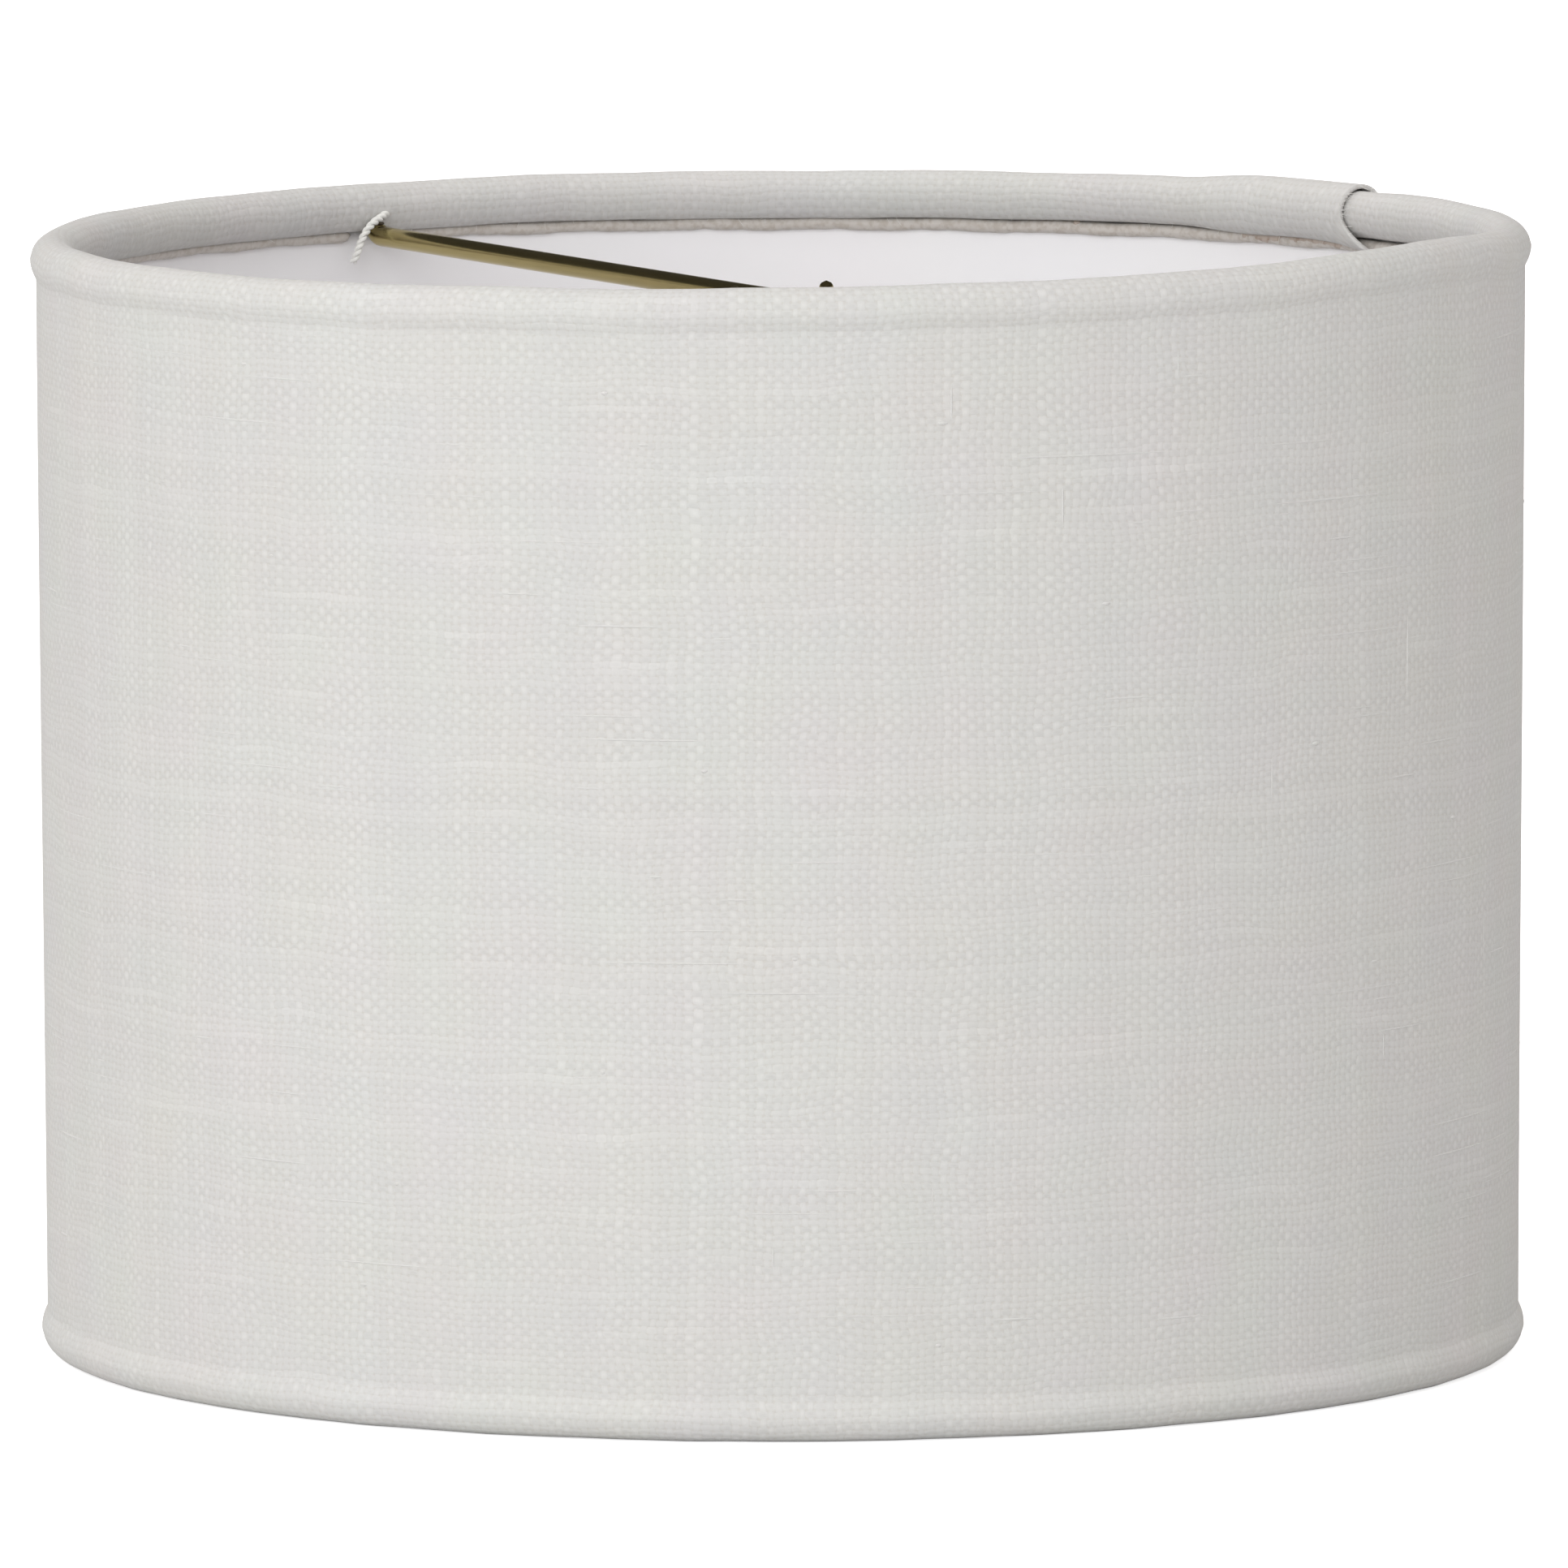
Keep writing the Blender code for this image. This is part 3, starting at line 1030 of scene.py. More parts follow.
    def roll_points(self, rim: Rim, turns: np.ndarray) -> tuple[np.ndarray, np.ndarray, np.ndarray]:
        """Turn the cloth over a ring.

        Args:
            rim: top or bottom.
            turns: turn of each column.

        Returns:
            Radius, height and distance along the cloth, from the outermost line to the edge.
        """
        ring_radius, ring_height = self.form.rings[rim]
        edge = self.hem_turn(turns) if rim is Rim.TOP else self.tuck + self.hem_edge.at(turns, 2.0)
        share = np.linspace(0.0, 1.0, self.roll_rows + 1)[:, None]
        angle = share * edge[None, :]
        reach = self.form.roll + self.rim_lumps.at(turns, rim.value)[None, :] * np.sin(angle / 2)
        lap_share = 1.0 if rim is Rim.TOP else self.foot_lap
        reach = reach + lap_share * self.lap_offset(turns)[None, :]
        radius = ring_radius + reach * np.cos(angle)
        height = ring_height + rim.value * reach * np.sin(angle)
        if rim is Rim.TOP:
            height = height - self.hem_hang * smooth_step(angle, pi, self.hang_turn)
        return radius, height, angle * self.form.roll

    def wall_points(self, turns: np.ndarray) -> tuple[np.ndarray, np.ndarray]:
        """Run the cloth from the top rim's outermost line to the bottom rim's.

        Args:
            turns: turn of each column.

        Returns:
            Radius and height.
        """
        top_radius, top = self.form.rings[Rim.TOP]
        foot_radius, foot = self.form.rings[Rim.BOTTOM]
        shoulder = self.shoulder * self.form.roll
        heights = np.concatenate([
            np.linspace(top, top - shoulder, self.shoulder_rows),
            np.linspace(top - shoulder, foot + shoulder, self.wall_rows + 2)[1:-1],
            np.linspace(foot + shoulder, foot, self.shoulder_rows),
        ])[:, None]
        offset = self.lap_offset(turns)[None, :]
        wall = self.form.wall(heights) + self.wall_lap * offset
        wall = wall + self.wall_sway.at(turns[None, :], heights / self.sway_height)
        fall = self.foot_lap + (1.0 - self.foot_lap) * smooth_step(heights, foot, top)
        for radius, level in ((top_radius, top), (foot_radius, foot)):
            reach = self.form.roll + offset * fall
            rise = np.sqrt(np.maximum(reach ** 2 - (heights - level) ** 2, 0.0))
            wall = smooth_max(radius + rise, wall, self.fillet)
        return wall, np.broadcast_to(heights, wall.shape)

    def shape(self) -> tuple[np.ndarray, np.ndarray]:
        """Work out every point of the sheet and its place on the flat cloth.

        Returns:
            Points by row and column, and their map from 0 to 1.
        """
        turns = self.column_turns()
        top = self.roll_points(Rim.TOP, turns)
        foot = self.roll_points(Rim.BOTTOM, turns)
        wall = self.wall_points(turns)
        radius = np.concatenate([top[0][:0:-1], wall[0], foot[0][1:]])
        height = np.concatenate([top[1][:0:-1], wall[1], foot[1][1:]])
        edge = self.tuck * self.form.roll
        wall_along = edge + (self.form.rings[Rim.TOP][1] - wall[1])
        along = np.concatenate([edge - top[2][:0:-1], wall_along, wall_along[-1:] + foot[2][1:]])
        lift = (self.rim_height.at(turns) + self.seam_rise * (0.5 + 0.5 * np.cos(turns)) ** 1.5)[None, :]
        lift = lift + self.rim_lean * np.cos(turns - self.rim_lean_turn)
        lift = lift + self.rim_warp * np.cos(2 * (turns - self.rim_warp_turn))
        lift = lift + self.rim_bump * np.exp(-((turns - self.rim_bump_turn) / self.rim_bump_width) ** 2)
        near_top = smooth_step(height, *(share * self.form.height for share in self.lift_band))
        near_foot = 1.0 - smooth_step(height, 0.0, self.foot_band * self.form.height)
        foot_lift = np.abs(self.rim_height.at(turns, 2.0))[None, :]
        height = height + lift * near_top + self.foot_share * foot_lift * near_foot
        height = np.maximum(height, self.form.fabric / 2)
        turn = np.broadcast_to(turns[None, :], radius.shape).copy()
        mapped = np.stack([turn / self.span, along / self.flat_width], axis=-1)
        self.pull_edge(turn, radius, height, along)
        return round_drum(radius, turn, height), mapped

    def pull_edge(self, turn: np.ndarray, radius: np.ndarray, height: np.ndarray, along: np.ndarray) -> None:
        """Let the cut edge wander and pull the hem's corner out, in place.

        Args:
            turn: turn of every point.
            radius: its radius.
            height: its height.
            along: its distance along the cloth from the top hem's edge.
        """
        from_edge = turn * self.form.wall(0.0)
        near = np.exp(-from_edge / self.cut_reach)
        wander = self.cut_edge.at(along / self.flat_width * 2 * pi * self.cut_waves)
        pull = (1.0 - smooth_step(along, *self.tongue_root)) ** 1.4
        reach = np.exp(-(from_edge / self.tongue_reach) ** 1.5)
        turn -= (wander * near + self.tongue * pull * reach) / self.form.rings[Rim.TOP][0]
        height -= self.tongue_droop * pull * reach
        radius -= self.tongue_in * pull * reach

    def build(self, finish: bpy.types.Material) -> bpy.types.Object:
        """Make the sheet.

        Args:
            finish: the linen.

        Returns:
            The cover.
        """
        points, mapped = self.shape()
        rows, columns = points.shape[:2]
        grid = np.arange(rows * columns).reshape(rows, columns)
        corners = [grid[:-1, :-1], grid[1:, :-1], grid[1:, 1:], grid[:-1, 1:]]
        faces = np.stack(corners, axis=-1).reshape(-1, 4)
        mesh = bpy.data.meshes.new("linen_panel")
        mesh.from_pydata(points.reshape(-1, 3).tolist(), [], faces.tolist())
        mesh.shade_smooth()
        layer = mesh.uv_layers.new(name=CLOTH_MAP)
        layer.data.foreach_set("uv", mapped.reshape(-1, 2)[faces.reshape(-1)].astype(np.float32).ravel())
        mesh.materials.append(finish)
        piece = add_piece(mesh)
        thick = piece.modifiers.new("Cloth thickness", "SOLIDIFY")
        thick.thickness = self.form.fabric
        thick.offset = 0.0
        return piece


@dataclass
class ThickYarns:
    """Slubs: places where a yarn of the weave is thicker and stands proud."""

    form: DrumForm
    name: str
    count: int
    seed: int
    shortest: float
    longest: float
    thickness: float
    upright: bool = False
    margin: float = 6.0 * MM            # kept clear of the rolled rims
    sunk: float = 0.07 * MM             # middle of the yarn below the cloth's face

    @staticmethod
    def recipe() -> Recipe:
        """Build the tree that strews spindles on a flat strip and wraps it on the drum.

        Returns:
            The recipe.
        """
        recipe = Recipe("thick_yarns", {
            "Count": ("Int", 100), "Seed": ("Int", 1), "Shortest": ("Float", 0.004),
            "Longest": ("Float", 0.02), "Thickness": ("Float", 0.0003), "Lean": ("Float", 0.0),
            "Low": ("Float", 0.0), "High": ("Float", 0.1), "Radius": ("Float", 0.075),
            "Taper": ("Float", 0.0), "Sides": ("Int", 6), "Rings": ("Int", 9),
        })
        g, given = recipe.graph, recipe.given

        def draw(low: Any, high: Any, offset: int) -> Socket:
            """Draw a number for each spindle."""
            seed = g.plus(given["Seed"], float(offset))
            return g.add("FunctionNodeRandomValue", {2: low, 3: high, 8: seed}, data_type="FLOAT").outputs[1]

        line = g.add("GeometryNodeCurvePrimitiveLine", {0: (-0.5, 0.0, 0.0), 1: (0.5, 0.0, 0.0)}).outputs[0]
        even = g.add("GeometryNodeResampleCurve", {0: line, 2: given["Rings"]}).outputs[0]
        share = g.add("GeometryNodeSplineParameter").outputs[0]
        belly = g.math("POWER", g.math("SINE", g.times(share, pi)), 0.8)
        ring = g.add("GeometryNodeCurvePrimitiveCircle", {0: given["Sides"], 4: 1.0}).outputs[0]
        wide = g.math("MAXIMUM", belly, 0.03)
        spindle = g.add("GeometryNodeCurveToMesh", {0: even, 1: ring, 2: wide, 3: True}).outputs[0]
        length = draw(0.0, 1.0, 3)
        length = g.blend(g.math("POWER", length, 2.0), given["Shortest"], given["Longest"])
        girth = g.times(given["Thickness"], draw(0.3, 0.5, 4))
        round_turn = g.times(given["Radius"], 2 * pi)
        place = g.join(draw(0.0, round_turn, 1), 0.0, draw(given["Low"], given["High"], 2))
        points = g.add("GeometryNodePoints", {0: given["Count"], 1: place}).outputs[0]
        strewn = g.add("GeometryNodeInstanceOnPoints", {
            0: points, 2: spindle, 5: g.join(0.0, given["Lean"], 0.0), 6: g.join(length, girth, girth),
        }).outputs[0]
        flat = g.add("GeometryNodeRealizeInstances", {0: strewn}).outputs[0]
        along, inward, height = g.split(g.add("GeometryNodeInputPosition").outputs[0])
        turn = g.math("DIVIDE", along, given["Radius"])
        radius = g.linear(height, given["Taper"], given["Radius"])
        reach = g.minus(radius, inward)
        wrapped = g.join(g.times(reach, g.math("COSINE", turn)),
                         g.times(reach, g.math("SINE", turn)), height)
        recipe.close(g.add("GeometryNodeSetPosition", {0: flat, 2: wrapped}).outputs[0])
        return recipe

    def build(self, recipe: Recipe, finish: bpy.types.Material) -> bpy.types.Object:
        """Grow the thick places.

        Args:
            recipe: the tree from recipe().
            finish: linen yarn.

        Returns:
            The piece.
        """
        low = self.form.rings[Rim.BOTTOM][1] + self.margin
        high = self.form.rings[Rim.TOP][1] - self.margin
        return recipe.grow(
            bpy.data.meshes.new(self.name), finish, Count=self.count, Seed=self.seed, Shortest=self.shortest,
            Longest=self.longest, Thickness=self.thickness, Lean=pi / 2 if self.upright else 0.0, Low=low,
            High=high, Radius=self.form.skin(0.0) - self.sunk, Taper=self.form.taper,
        )


# ---------------------------------------------------------------------- wires and strands
class BentWire:
    """Recipe of a round wire, strand or bead that follows lines."""

    def __init__(self) -> None:
        """Build the tree."""
        self.recipe = Recipe("bent_wire", {
            "Wire": ("Float", 0.002), "Sides": ("Int", 16), "Dome": ("Float", 0.0),
            "Unevenness": ("Float", 0.0), "Lumps": ("Float", 800.0), "Taper": ("Float", 0.0),
        })
        g, given = self.recipe.graph, self.recipe.given
        curve = g.add("GeometryNodeMeshToCurve", {0: given["Geometry"]}).outputs[0]
        along = g.add("GeometryNodeSplineParameter")
        whole = g.add("GeometryNodeSplineLength").outputs[0]
        to_end = g.math("MINIMUM", along.outputs[1], g.minus(whole, along.outputs[1]))
        share = g.math("DIVIDE", to_end, g.math("MAXIMUM", given["Dome"], 1e-7), clamp=True)
        gone = g.minus(1.0, share)
        dome = g.math("SQRT", g.minus(1.0, g.times(gone, gone)))
        round_end = g.math("MAXIMUM", dome, g.minus(1.0, g.math("GREATER_THAN", given["Dome"], 0.0)))
        position = g.add("GeometryNodeInputPosition").outputs[0]
        lump = g.minus(g.noise(position, given["Lumps"], 1.0).outputs[0], 0.5)
        lumpy = g.linear(lump, g.times(given["Unevenness"], 2.0), 1.0)
        thin = g.minus(1.0, g.times(along.outputs[0], given["Taper"]))
        scale = g.times(g.times(g.math("MAXIMUM", round_end, 0.08), lumpy), thin)
        radius = g.times(given["Wire"], 0.5)
        ring = g.add("GeometryNodeCurvePrimitiveCircle", {0: given["Sides"], 4: radius}).outputs[0]
        tube = g.add("GeometryNodeCurveToMesh", {0: curve, 1: ring, 2: scale, 3: True}).outputs[0]
        self.recipe.close(tube)

    def grow(self, name: str, lines: list[np.ndarray], finish: bpy.types.Material, closed: bool = False,
             **sizes: Any) -> bpy.types.Object:
        """Grow tubes along lines.

        Args:
            name: the piece's name.
            lines: centre line of each tube.
            finish: its material.
            closed: join each line into a ring.
            **sizes: values by the recipe's input names.

        Returns:
            The piece, its faces turned outwards.
        """
        piece = self.recipe.grow(line_mesh(name, lines, closed), finish, **sizes)
        face_outwards(piece.data)
        return piece


class WirePiece:
    """A piece that the wire recipe grows along the piece's own lines."""

    name: str
    closed = False

    def lines(self) -> list[np.ndarray]:
        """Draw the centre lines."""
        raise NotImplementedError

    def sizes(self) -> dict[str, Any]:
        """Give the recipe's values by input name."""
        raise NotImplementedError

    def build(self, wires: BentWire, finish: bpy.types.Material) -> bpy.types.Object:
        """Grow the piece.

        Args:
            wires: the wire recipe.
            finish: its material.

        Returns:
            The piece.
        """
        return wires.grow(self.name, self.lines(), finish, closed=self.closed, **self.sizes())


def face_outwards(mesh: bpy.types.Mesh) -> None:
    """Merge doubles and turn every face of closed shapes outwards.

    Args:
        mesh: mesh to change in place.
    """
    work = bmesh.new()
    work.from_mesh(mesh)
    bmesh.ops.remove_doubles(work, verts=work.verts, dist=1e-7)
    bmesh.ops.recalc_face_normals(work, faces=work.faces)
    work.to_mesh(mesh)
    work.free()


@dataclass
class Crossbar(WirePiece):
    """Brass wire from ring to ring, its two ends turned up."""

    name = "brass_crossbar"
    bend: float = 1.15 * MM
    rise: float = 1.34 * MM             # tip above the wire's middle at the bend
    ease: float = 3.0 * MM              # length in which the sag turns at the middle
    spacing: float = 0.26 * MM

    @property
    def wire(self) -> float:
        """Thickness of the wire."""
        low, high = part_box("crossbar")
        return high.x - low.x

    def lines(self) -> list[np.ndarray]:
        """Draw the centre line from the -Y end to the +Y end.

        Returns:
            One line of evenly spaced points.
        """
        low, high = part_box("crossbar")
        end = high.y - self.wire / 2
        middle = low.z + self.wire / 2
        tip = high.z
        slope = (tip - self.rise - middle) / end
        run = np.linspace(0.0, end - self.bend, 160)
        level = middle + slope * np.sqrt(run ** 2 + self.ease ** 2)
        turns = np.linspace(0.0, pi / 2, 12)[1:]
        bend_y = end - self.bend + self.bend * np.sin(turns)
        bend_z = level[-1] + self.bend * (1 - np.cos(turns))
        along = np.concatenate([run, bend_y, [end]])
        height = np.concatenate([level, bend_z, [tip]])
        half = np.stack([np.zeros_like(along), along, height], axis=1)
        mirrored = half[:0:-1] * np.array([1.0, -1.0, 1.0])
        return [even_line(np.vstack([mirrored, half]), self.spacing)]

    def sizes(self) -> dict[str, Any]:
        """Give the recipe's values by input name."""
        return {"Wire": self.wire, "Sides": 28, "Dome": 0.3 * self.wire}


@dataclass
class ClipBar(WirePiece):
    """Short wire under the crossbar whose turned-up ends keep the loops on."""

    name = "brass_clip_bar"
    bend: float = 1.5 * MM
    spacing: float = 0.2 * MM

    @property
    def wire(self) -> float:
        """Thickness of the wire."""
        low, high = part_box("clip_bar")
        return high.y - low.y

    @property
    def level(self) -> float:
        """Height of the wire's centre line between the bends."""
        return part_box("clip_bar")[0].z + self.wire / 2

    def lines(self) -> list[np.ndarray]:
        """Draw the centre line from the -X tip to the +X tip.

        Returns:
            One line of evenly spaced points.
        """
        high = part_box("clip_bar")[1]
        reach = high.x - self.wire / 2
        turns = np.linspace(0.0, pi / 2, 12)
        along = np.concatenate([[0.0], reach - self.bend * (1 - np.sin(turns)), [reach]])
        height = np.concatenate([[0.0], self.bend * (1 - np.cos(turns)), [high.z - self.level]])
        half = np.stack([along, np.zeros_like(along), self.level + height], axis=1)
        mirrored = half[:0:-1] * np.array([-1.0, 1.0, 1.0])
        return [even_line(np.vstack([mirrored, half]), self.spacing)]

    def sizes(self) -> dict[str, Any]:
        """Give the recipe's values by input name."""
        return {"Wire": self.wire, "Sides": 24, "Dome": 0.5 * self.wire}


class Side(Enum):
    """The two clip loops, by the way they open."""

    LEFT = -1
    RIGHT = 1


@dataclass
class ClipLoop(WirePiece):
    """Sprung teardrop loop that grips the bulb."""

    closed = True
    side: Side
    bar: ClipBar
    wire: float = 1.2 * MM
    clearance: float = 0.3 * MM
    spread: float = 3.6 * MM            # hook from the drum's axis
    belly: float = 15.6 * MM            # belly from the drum's axis
    belly_drop: float = 32.0 * MM
    length: float = 42.0 * MM
    width: float = 20.0 * MM
    widest: float = 0.6                 # share of the length at which the legs are widest
    spacing: float = 0.35 * MM

    @property
    def node(self) -> str:
        """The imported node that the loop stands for."""
        return f"{self.side.name.lower()}_clip_loop"

    @property
    def name(self) -> str:
        """The piece's name."""
        return f"brass_{self.node}"

    @property
    def body(self) -> str:
        """The body that the loop swings with."""
        return f"{self.side.name.lower()}_loop"

    @property
    def hook(self) -> float:
        """Radius of the hook round the clip bar."""
        return self.bar.wire / 2 + self.clearance + self.wire / 2

    def half_width(self, drop: np.ndarray) -> np.ndarray:
        """Distance of a leg from the middle plane.

        Args:
            drop: distance below the clip bar.

        Returns:
            Half the width between the legs.
        """
        knee = self.widest * self.length
        share = np.clip(drop / knee, 0.0, 1.0)
        ease = share * share * (3 - 2 * share)
        upper = self.hook + (self.width / 2 - self.hook) * (0.5 * share + 0.5 * ease)
        past = np.clip((drop - knee) / (self.length - knee), 0.0, 1.0)
        lower = self.width / 2 * np.sqrt(1 - past * past)
        return np.where(drop < knee, upper, lower)

    def lines(self) -> list[np.ndarray]:
        """Draw the closed centre line: crown, right leg, foot, left leg.

        Returns:
            One closed line of evenly spaced points.
        """
        crown = np.linspace(0.0, pi / 2, 14)[1:-1]
        drops = self.length * np.sin(pi / 2 * np.linspace(0.0, 1.0, 150))[:-1]
        across = np.concatenate([self.hook * np.sin(crown), self.half_width(drops)])
        drop = np.concatenate([-self.hook * np.cos(crown), drops])
        bow = (self.belly - self.spread) * np.sin(pi / 2 * np.maximum(drop, 0.0) / self.belly_drop)
        foot_bow = (self.belly - self.spread) * sin(pi / 2 * self.length / self.belly_drop)
        side = self.side.value
        hook_x = side * self.spread
        leg = np.stack([hook_x + side * bow, across, self.bar.level - drop], axis=1)
        other = leg[::-1] * np.array([1.0, -1.0, 1.0])
        top = [[hook_x, 0.0, self.bar.level + self.hook]]
        foot = [[hook_x + side * foot_bow, 0.0, self.bar.level - self.length]]
        ring = even_line(np.vstack([top, leg, foot, other, top]), self.spacing)
        return [ring[:-1]]

    def sizes(self) -> dict[str, Any]:
        """Give the recipe's values by input name."""
        return {"Wire": self.wire, "Sides": 16}


@dataclass
class WeldBeads:
    """Spot welds: clip bar to crossbar, and crossbar to the top ring."""

    bar: ClipBar
    seed: int = 5
    at_bar: tuple[float, float, float] = (1.25, 1.05, 0.42)     # half lengths in millimetres
    at_tip: tuple[float, float, float] = (1.15, 0.95, 0.55)
    tip_out: float = 0.15 * MM
    tip_up: float = 0.05 * MM
    swell: float = 0.07
    lumps: float = 3.0

    def bead(self, work: bmesh.types.BMesh, centre: Vector, size: Vector) -> None:
        """Add one lumpy bead.

        Args:
            work: mesh to add to.
            centre: its middle.
            size: its half lengths.
        """
        made = bmesh.ops.create_icosphere(work, subdivisions=3, radius=1.0)
        draw = np.random.default_rng(self.seed + abs(round(centre.y / MM)))
        lean = draw.uniform(-1.0, 1.0, (4, 3))
        for vertex in made["verts"]:
            way = vertex.co.copy()
            waves = (sin(self.lumps * way.dot(Vector(row)) + index) for index, row in enumerate(lean))
            swell = 1.0 + self.swell * sum(waves)
            vertex.co = centre + Vector(part * length * swell for part, length in zip(way, size))

    def build(self, finish: bpy.types.Material) -> bpy.types.Object:
        """Make the three beads.

        Args:
            finish: weld metal.

        Returns:
            The piece.
        """
        low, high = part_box("crossbar")
        wire = high.x - low.x
        work = bmesh.new()
        under = (low.z + self.bar.level + self.bar.wire / 2) / 2
        self.bead(work, Vector((0.0, 0.0, under)), Vector(self.at_bar) * MM)
        for side in (-1, 1):
            tip = Vector((0.0, side * (high.y - wire / 2 + self.tip_out), high.z + self.tip_up))
            self.bead(work, tip, Vector(self.at_tip) * MM)
        mesh = bpy.data.meshes.new("weld_beads")
        work.to_mesh(mesh)
        work.free()
        mesh.shade_smooth()
        mesh.materials.append(finish)
        return add_piece(mesh)


@dataclass
class LooseYarn(WirePiece):
    """A pulled linen yarn that hangs out of the hem at the crossbar's root."""

    name = "loose_yarn"
    form: DrumForm
    start: float = radians(91.1)
    thickness: float = 0.46 * MM        # one of the two strands
    twist: float = 1.5 * MM             # length of one turn of the strands
    strand_gap: float = 0.42            # strand from the yarn's middle, as a share of its thickness
    spacing: float = 0.1 * MM
    knots: tuple[tuple[float, float, float], ...] = (       # radius and drop in millimetres, turn in degrees
        (72.3, -2.0, -0.7), (71.5, -1.0, -1.05), (71.2, 0.1, -1.65), (71.2, 0.9, -2.6),
        (71.3, 1.4, -3.8), (71.5, 1.7, -5.0), (71.8, 1.9, -5.8),
    )

    def middle(self) -> np.ndarray:
        """Draw the yarn's middle, from the hem down to the loose end.

        Returns:
            Evenly spaced points.
        """
        level = self.form.rings[Rim.TOP][1]
        placed = [tuple(round_drum(radius * MM, self.start + radians(turn), level + drop * MM))
                  for radius, turn, drop in self.knots]
        return smooth_line(placed, self.spacing)

    def lines(self) -> list[np.ndarray]:
        """Wind two strands round the yarn's middle.

        Returns:
            The centre line of each strand.
        """
        middle = self.middle()
        ahead = np.gradient(middle, axis=0)
        ahead /= np.linalg.norm(ahead, axis=1)[:, None]
        side = np.cross(ahead, np.array([0.0, 0.0, 1.0]) + 0.3 * ahead)
        side /= np.linalg.norm(side, axis=1)[:, None]
        other = np.cross(ahead, side)
        wound = np.arange(len(middle)) * self.spacing / self.twist * 2 * pi
        lines = []
        for phase in (0.0, pi):
            way = np.cos(wound + phase)[:, None] * side + np.sin(wound + phase)[:, None] * other
            lines.append(middle + self.strand_gap * self.thickness * way)
        return lines

    def sizes(self) -> dict[str, Any]:
        """Give the recipe's values by input name."""
        return {"Wire": self.thickness, "Sides": 12, "Dome": 0.5 * self.thickness, "Unevenness": 0.16,
                "Lumps": 1500.0}


@dataclass
class Fray(WirePiece):
    """Single fibres that stand out of the cut edge and the hem."""

    name = "frayed_fibres"
    cover: LinenCover
    seed: int = 7
    edge_fibres: int = 150
    hem_fibres: int = 90
    length: float = 1.3 * MM
    thickness: float = 0.055 * MM
    stand_off: float = 0.25             # how far edge fibres lean outwards
    hem_in: float = 0.5                 # how far hem fibres point inwards
    hem_down: float = 0.8               # and down
    scatter: float = 0.45
    curl: float = 0.5

    def lines(self) -> list[np.ndarray]:
        """Draw every fibre.

        Returns:
            The centre line of each.
        """
        draw = np.random.default_rng(self.seed)
        points, _ = self.cover.shape()
        rows, columns = points.shape[:2]
        fibres = []
        for _ in range(self.edge_fibres):
            root = points[draw.integers(1, rows - 12), 0]
            outward = np.array([root[0], root[1], 0.0]) / np.linalg.norm(root[:2])
            back = np.array([outward[1], -outward[0], 0.0])
            fibres.append(self.fibre(draw, root, back + self.stand_off * outward))
        for _ in range(self.hem_fibres):
            column = draw.integers(6, columns - 40)
            root = points[0, column]
            inward = -np.array([root[0], root[1], 0.0]) / np.linalg.norm(root[:2])
            way = self.hem_in * inward - np.array([0.0, 0.0, self.hem_down])
            fibres.append(self.fibre(draw, root, way))
        return fibres

    def fibre(self, draw: np.random.Generator, root: np.ndarray, way: np.ndarray) -> np.ndarray:
        """Draw one curved fibre.

        Args:
            draw: random source.
            root: where it leaves the cloth.
            way: its main direction.

        Returns:
            Its centre line.
        """
        heading = way / np.linalg.norm(way) + draw.normal(0.0, self.scatter, 3)
        heading /= np.linalg.norm(heading)
        curl = draw.normal(0.0, self.curl, 3)
        reach = self.length * draw.uniform(0.25, 1.0)
        share = np.linspace(0.0, 1.0, 6)[:, None]
        line = root + reach * (share * heading + share ** 2 * curl * 0.5)
        line[:, 2] = np.maximum(line[:, 2], self.thickness)
        return line

    def sizes(self) -> dict[str, Any]:
        """Give the recipe's values by input name."""
        return {"Wire": self.thickness, "Sides": 4, "Taper": 0.6}


@dataclass
class GlueBead(WirePiece):
    """Glue on the liner's inner face, just below the top ring."""

    form: DrumForm

    def bead(self, turns: np.ndarray, drop: float, waves: float) -> np.ndarray:
        """Lay one bead.

        Args:
            turns: turn of each of its points.
            drop: its middle below the ring.
            waves: waves of its wander per turn.

        Returns:
            Its centre line.
        """
        height = self.form.rings[Rim.TOP][1] - drop + self.wander * np.sin(waves * turns)
        return round_drum(self.form.liner_radius - self.form.liner - self.sunk, turns, height)


@dataclass
class HemGlue(GlueBead):
    """Bead that holds the top hem, in two halves between the crossbar's ends; its grey colour and width also
    paint the shade under the rolled hem.
    """

    name = "hem_glue_and_painted_shade_bead"
    # wide and grey so that it also paints the soft shade under the rolled hem
    thickness: float = 1.45 * MM
    drop: float = 3.1 * MM
    wander: float = 0.07 * MM
    sunk: float = 0.15 * MM             # bead's middle from the liner's face
    slit: float = radians(1.9)          # half the gap at each end of the crossbar
    points: int = 400

    def lines(self) -> list[np.ndarray]:
        """Draw the two halves.

        Returns:
            The centre line of each.
        """
        reach = pi / 2 - self.slit
        halves = [np.linspace(middle - reach, middle + reach, self.points) for middle in (0.0, pi)]
        return [self.bead(turns, self.drop, 37) for turns in halves]

    def sizes(self) -> dict[str, Any]:
        """Give the recipe's values by input name."""
        return {"Wire": self.thickness, "Sides": 12, "Dome": self.thickness, "Unevenness": 0.22,
                "Lumps": 500.0}


